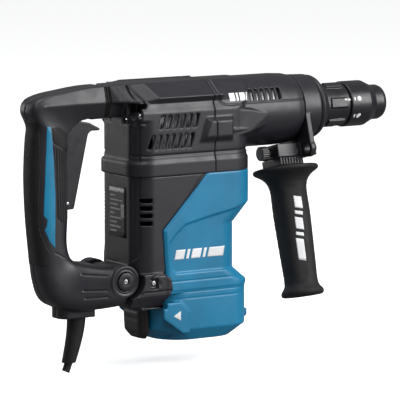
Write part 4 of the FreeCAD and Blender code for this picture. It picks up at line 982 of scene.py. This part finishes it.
PLATE_ROW_ENDS = (-6, 2, -12, -3, -9, 4, -13, -1, -8, 0)
PLATE_TOP, ROW_PITCH, ROW_HEIGHT = -71, 4.4, 1.5


def from_behind(u, v):
    return (-400.0, u, v), (1, 0, 0)


def rating_plate(rear):
    """Plate on the rear face, with rows of plain bars."""
    plate = [(17, -66), (-17.5, -66), (-17.5, -117), (17, -117)]
    base = printed("rating_plate", [plate], rear, from_behind, "black_shell", "body", "plate", 0.35)
    rows = []
    for i, stop in enumerate(PLATE_ROW_ENDS):
        z = PLATE_TOP - ROW_PITCH * i
        rows.append([(12, z), (stop, z), (stop, z - ROW_HEIGHT), (12, z - ROW_HEIGHT)])
    rows.append([(-8, -84), (-14, -84), (-14, -98), (-8, -98)])
    printed("rating_plate_bars", rows, base, from_behind, INK_SLOT, "body", "plate_ink", 0.12)


def screw_heads(name, places, r, body):
    """Pan heads with a cross recess, facing outwards on both sides; places are (x, z, y of the seat)."""
    def seated(x, z, y, side):
        return lambda a, u, w: (x + u, side * (y + a), z + w)

    profile = [(0.0, 0.02), (0.0, r), (0.6, r), (1.3, r * 0.82), (1.7, r * 0.5), (1.8, 0.02)]
    solids = [turned(profile, seated(x, z, y, side), 40) for x, z, y in places for side in (RIGHT, LEFT)]

    def cross(points, normals):
        depth = np.zeros(len(points))
        for x, z, y in places:
            u, w = points[:, 0] - x, points[:, 2] - z
            arm = np.minimum(np.abs(u + w), np.abs(u - w)) / math.sqrt(2)
            near = smooth_step((r * 0.62 - np.hypot(u, w)) / 0.3) * smooth_step((0.55 - arm) / 0.25)
            depth += near * (np.abs(points[:, 1]) > y + 1.0)
        move = np.zeros_like(points)
        move[:, 1] = -np.sign(points[:, 1]) * 0.8 * depth
        return move

    return piece(name, moulded(joined(*solids), 0.2, 1, [cross], 0.6), "steel", body)


def casting_behind_vents():
    """Ribbed wall of the cast crank case, seen through the vents."""
    wall = block(-298, -245, -35.0, -33.4, -31, 7)
    ribs = [block(x, x + 2.2, -35.9, -34.5, -30.5, 6.5) for x in range(-297, -246, 7)]
    mesh = moulded(joined(wall, *ribs), 0.6, 2)
    return piece("crank_case_ribs", mesh, "aluminium", "body")


# ------------------------------------------------------------------ carried nodes
NODE_SLOTS = {
    "black_rubber": "cord_guard power_cord piston_seal",
    "black_shell": "switch_body brush_frame",
    "steel": "armature_shaft wrist_pin retaining_balls ball_bearings body_screws handle_screws side_bolt"
             " isolation_spring sleeve_spring clutch_spring connecting_rod piston striker impact_bolt"
             " countershaft cylinder crankshaft",
    "dark_steel": "crank_gear counter_gear spindle_gear chuck_body pivot_bolt",
    "aluminium": "gear_housing bearing_plate",
    "copper": "armature_windings stator_coils commutator pivot_bushes",
    "carbon": "carbon_brushes",
    "lamination": "armature_core motor_stator",
    "fan_plastic": "cooling_fan",
    "board_potting": "circuit_board",
}


NODE_WELD, NODE_BEVEL = 2e-6, 0.0002
BEVEL_ANGLE, SHADING_ANGLE = math.radians(40), math.radians(35)


def dress_carried_nodes():
    """Material and soft shading for every CAD node that stays."""
    for slot, names in NODE_SLOTS.items():
        for name in names.split():
            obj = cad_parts[name]
            obj.data.materials.clear()
            obj.data.materials.append(MATERIALS[slot])
            obj.data.shade_smooth()
            weld = obj.modifiers.new("weld", "WELD")
            weld.merge_threshold = NODE_WELD
            bevel = obj.modifiers.new("edges", "BEVEL")
            bevel.width, bevel.segments, bevel.limit_method = NODE_BEVEL, 2, "ANGLE"
            bevel.angle_limit = BEVEL_ANGLE
            split = obj.modifiers.new("shading", "EDGE_SPLIT")
            split.split_angle = SHADING_ANGLE


# ------------------------------------------------------------------ studio
CAMERA_AZIMUTH, CAMERA_ELEVATION = math.radians(-33.0), math.radians(7.0)
AIM = Vector((-0.212, 0.0, -0.060))
CAMERA_DISTANCE = 3.406
SENSOR_MM, LENS_MM = 36.0, 304.641
SHIFT_X, SHIFT_Y = -0.01675, -0.06925
# Soft boxes: name, place, size and power.
LIGHTS = (
    ("side_light", (1.1, -1.9, 0.9), (1.3, 1.7), 58),
    ("top_light", (-0.5, -0.2, 2.2), (2.2, 1.2), 26),
    ("left_light", (-1.5, -1.6, 1.9), (0.8, 0.8), 12),
    ("rim_light", (-1.3, 2.1, 0.2), (0.9, 1.4), 10),
)
FLOOR_GAP, FLOOR_SIZE = 0.001, 60.0


def set_camera(scene):
    back = Vector((math.sin(CAMERA_AZIMUTH) * math.cos(CAMERA_ELEVATION),
                   -math.cos(CAMERA_AZIMUTH) * math.cos(CAMERA_ELEVATION), math.sin(CAMERA_ELEVATION)))
    data = bpy.data.cameras.new("camera")
    camera = bpy.data.objects.new("camera", data)
    scene.collection.objects.link(camera)
    camera.location = AIM + back * CAMERA_DISTANCE
    camera.rotation_euler = (-back).to_track_quat("-Z", "Y").to_euler()
    data.sensor_width = SENSOR_MM
    data.lens = LENS_MM
    data.shift_x = SHIFT_X
    data.shift_y = SHIFT_Y
    data.clip_end = 100.0
    scene.camera = camera
    scene.view_settings.view_transform = "Standard"


def set_lights(scene):
    for name, place, size, power in LIGHTS:
        light = bpy.data.lights.new(name, "AREA")
        light.shape = "RECTANGLE"
        light.size, light.size_y = size
        light.energy = power
        obj = bpy.data.objects.new(name, light)
        scene.collection.objects.link(obj)
        obj.location = place
        obj.rotation_euler = (AIM - Vector(place)).to_track_quat("-Z", "Y").to_euler()


def set_world(scene):
    """Even surroundings that are brighter above than below."""
    world = bpy.data.worlds.new("studio")
    scene.world = world
    world.use_nodes = True
    tree = world.node_tree
    tree.nodes.clear()
    output = tree.nodes.new("ShaderNodeOutputWorld")
    sky = tree.nodes.new("ShaderNodeBackground")
    direction = tree.nodes.new("ShaderNodeTexCoord")
    split = tree.nodes.new("ShaderNodeSeparateXYZ")
    ramp = tree.nodes.new("ShaderNodeMapRange")
    tree.links.new(direction.outputs["Generated"], split.inputs[0])
    tree.links.new(split.outputs["Z"], ramp.inputs["Value"])
    for key, number in (("From Min", -0.3), ("From Max", 1.0), ("To Min", 0.10), ("To Max", 0.40)):
        ramp.inputs[key].default_value = number
    tree.links.new(ramp.outputs["Result"], sky.inputs["Strength"])
    sky.inputs["Color"].default_value = (0.97, 0.98, 1.0, 1.0)
    tree.links.new(sky.outputs["Background"], output.inputs["Surface"])


def set_floor():
    """Floor that the camera sees pale and that throws little light back."""
    floor_z = CAD_BOX[0].z - FLOOR_GAP
    bpy.ops.mesh.primitive_plane_add(size=FLOOR_SIZE, location=(0, 0, floor_z))
    floor = bpy.context.object
    floor.name = "floor"
    n = Nodes("pale_floor")
    seen = n.add("ShaderNodeLightPath").outputs["Is Camera Ray"]
    pale = n.mixed(n.noise(1.5), (0.90, 0.90, 0.90), (0.93, 0.93, 0.93))
    n.link(n.mixed(seen, (0.16, 0.16, 0.16), pale), n.surface.inputs["Base Color"])
    n.surface.inputs["Roughness"].default_value = 0.8
    n.surface.inputs["Emission Color"].default_value = (1, 1, 1, 1)
    n.link(n.ranged(seen, 0.02, 0.62, 0.0, 1.0), n.surface.inputs["Emission Strength"])
    floor.data.materials.append(n.material)


def studio():
    scene = bpy.context.scene
    set_camera(scene)
    set_lights(scene)
    set_world(scene)
    set_floor()


# ------------------------------------------------------------------ build
def build():
    dress_carried_nodes()
    barrel = upper_covers()
    rear = rear_skin()
    motor = motor_skin()
    bottom = bottom_skin()
    foot_skin()
    handle_halves()
    grip_rubber()
    trigger_skin()
    bellows_skin()
    grip = side_grip_skin()
    skins = small_skins()
    marks(skins, motor, bottom, barrel, grip)
    rating_plate(rear)
    screw_heads("cover_screws", [(-311.5, 4.8, 34.4), (-300.3, -160.4, 39.2)], 2.8, "body")
    screw_heads("pivot_screws", [(PIVOT_X, PIVOT_Z, 35.2)], 3.0, "rear_handle")
    casting_behind_vents()


build()
studio()
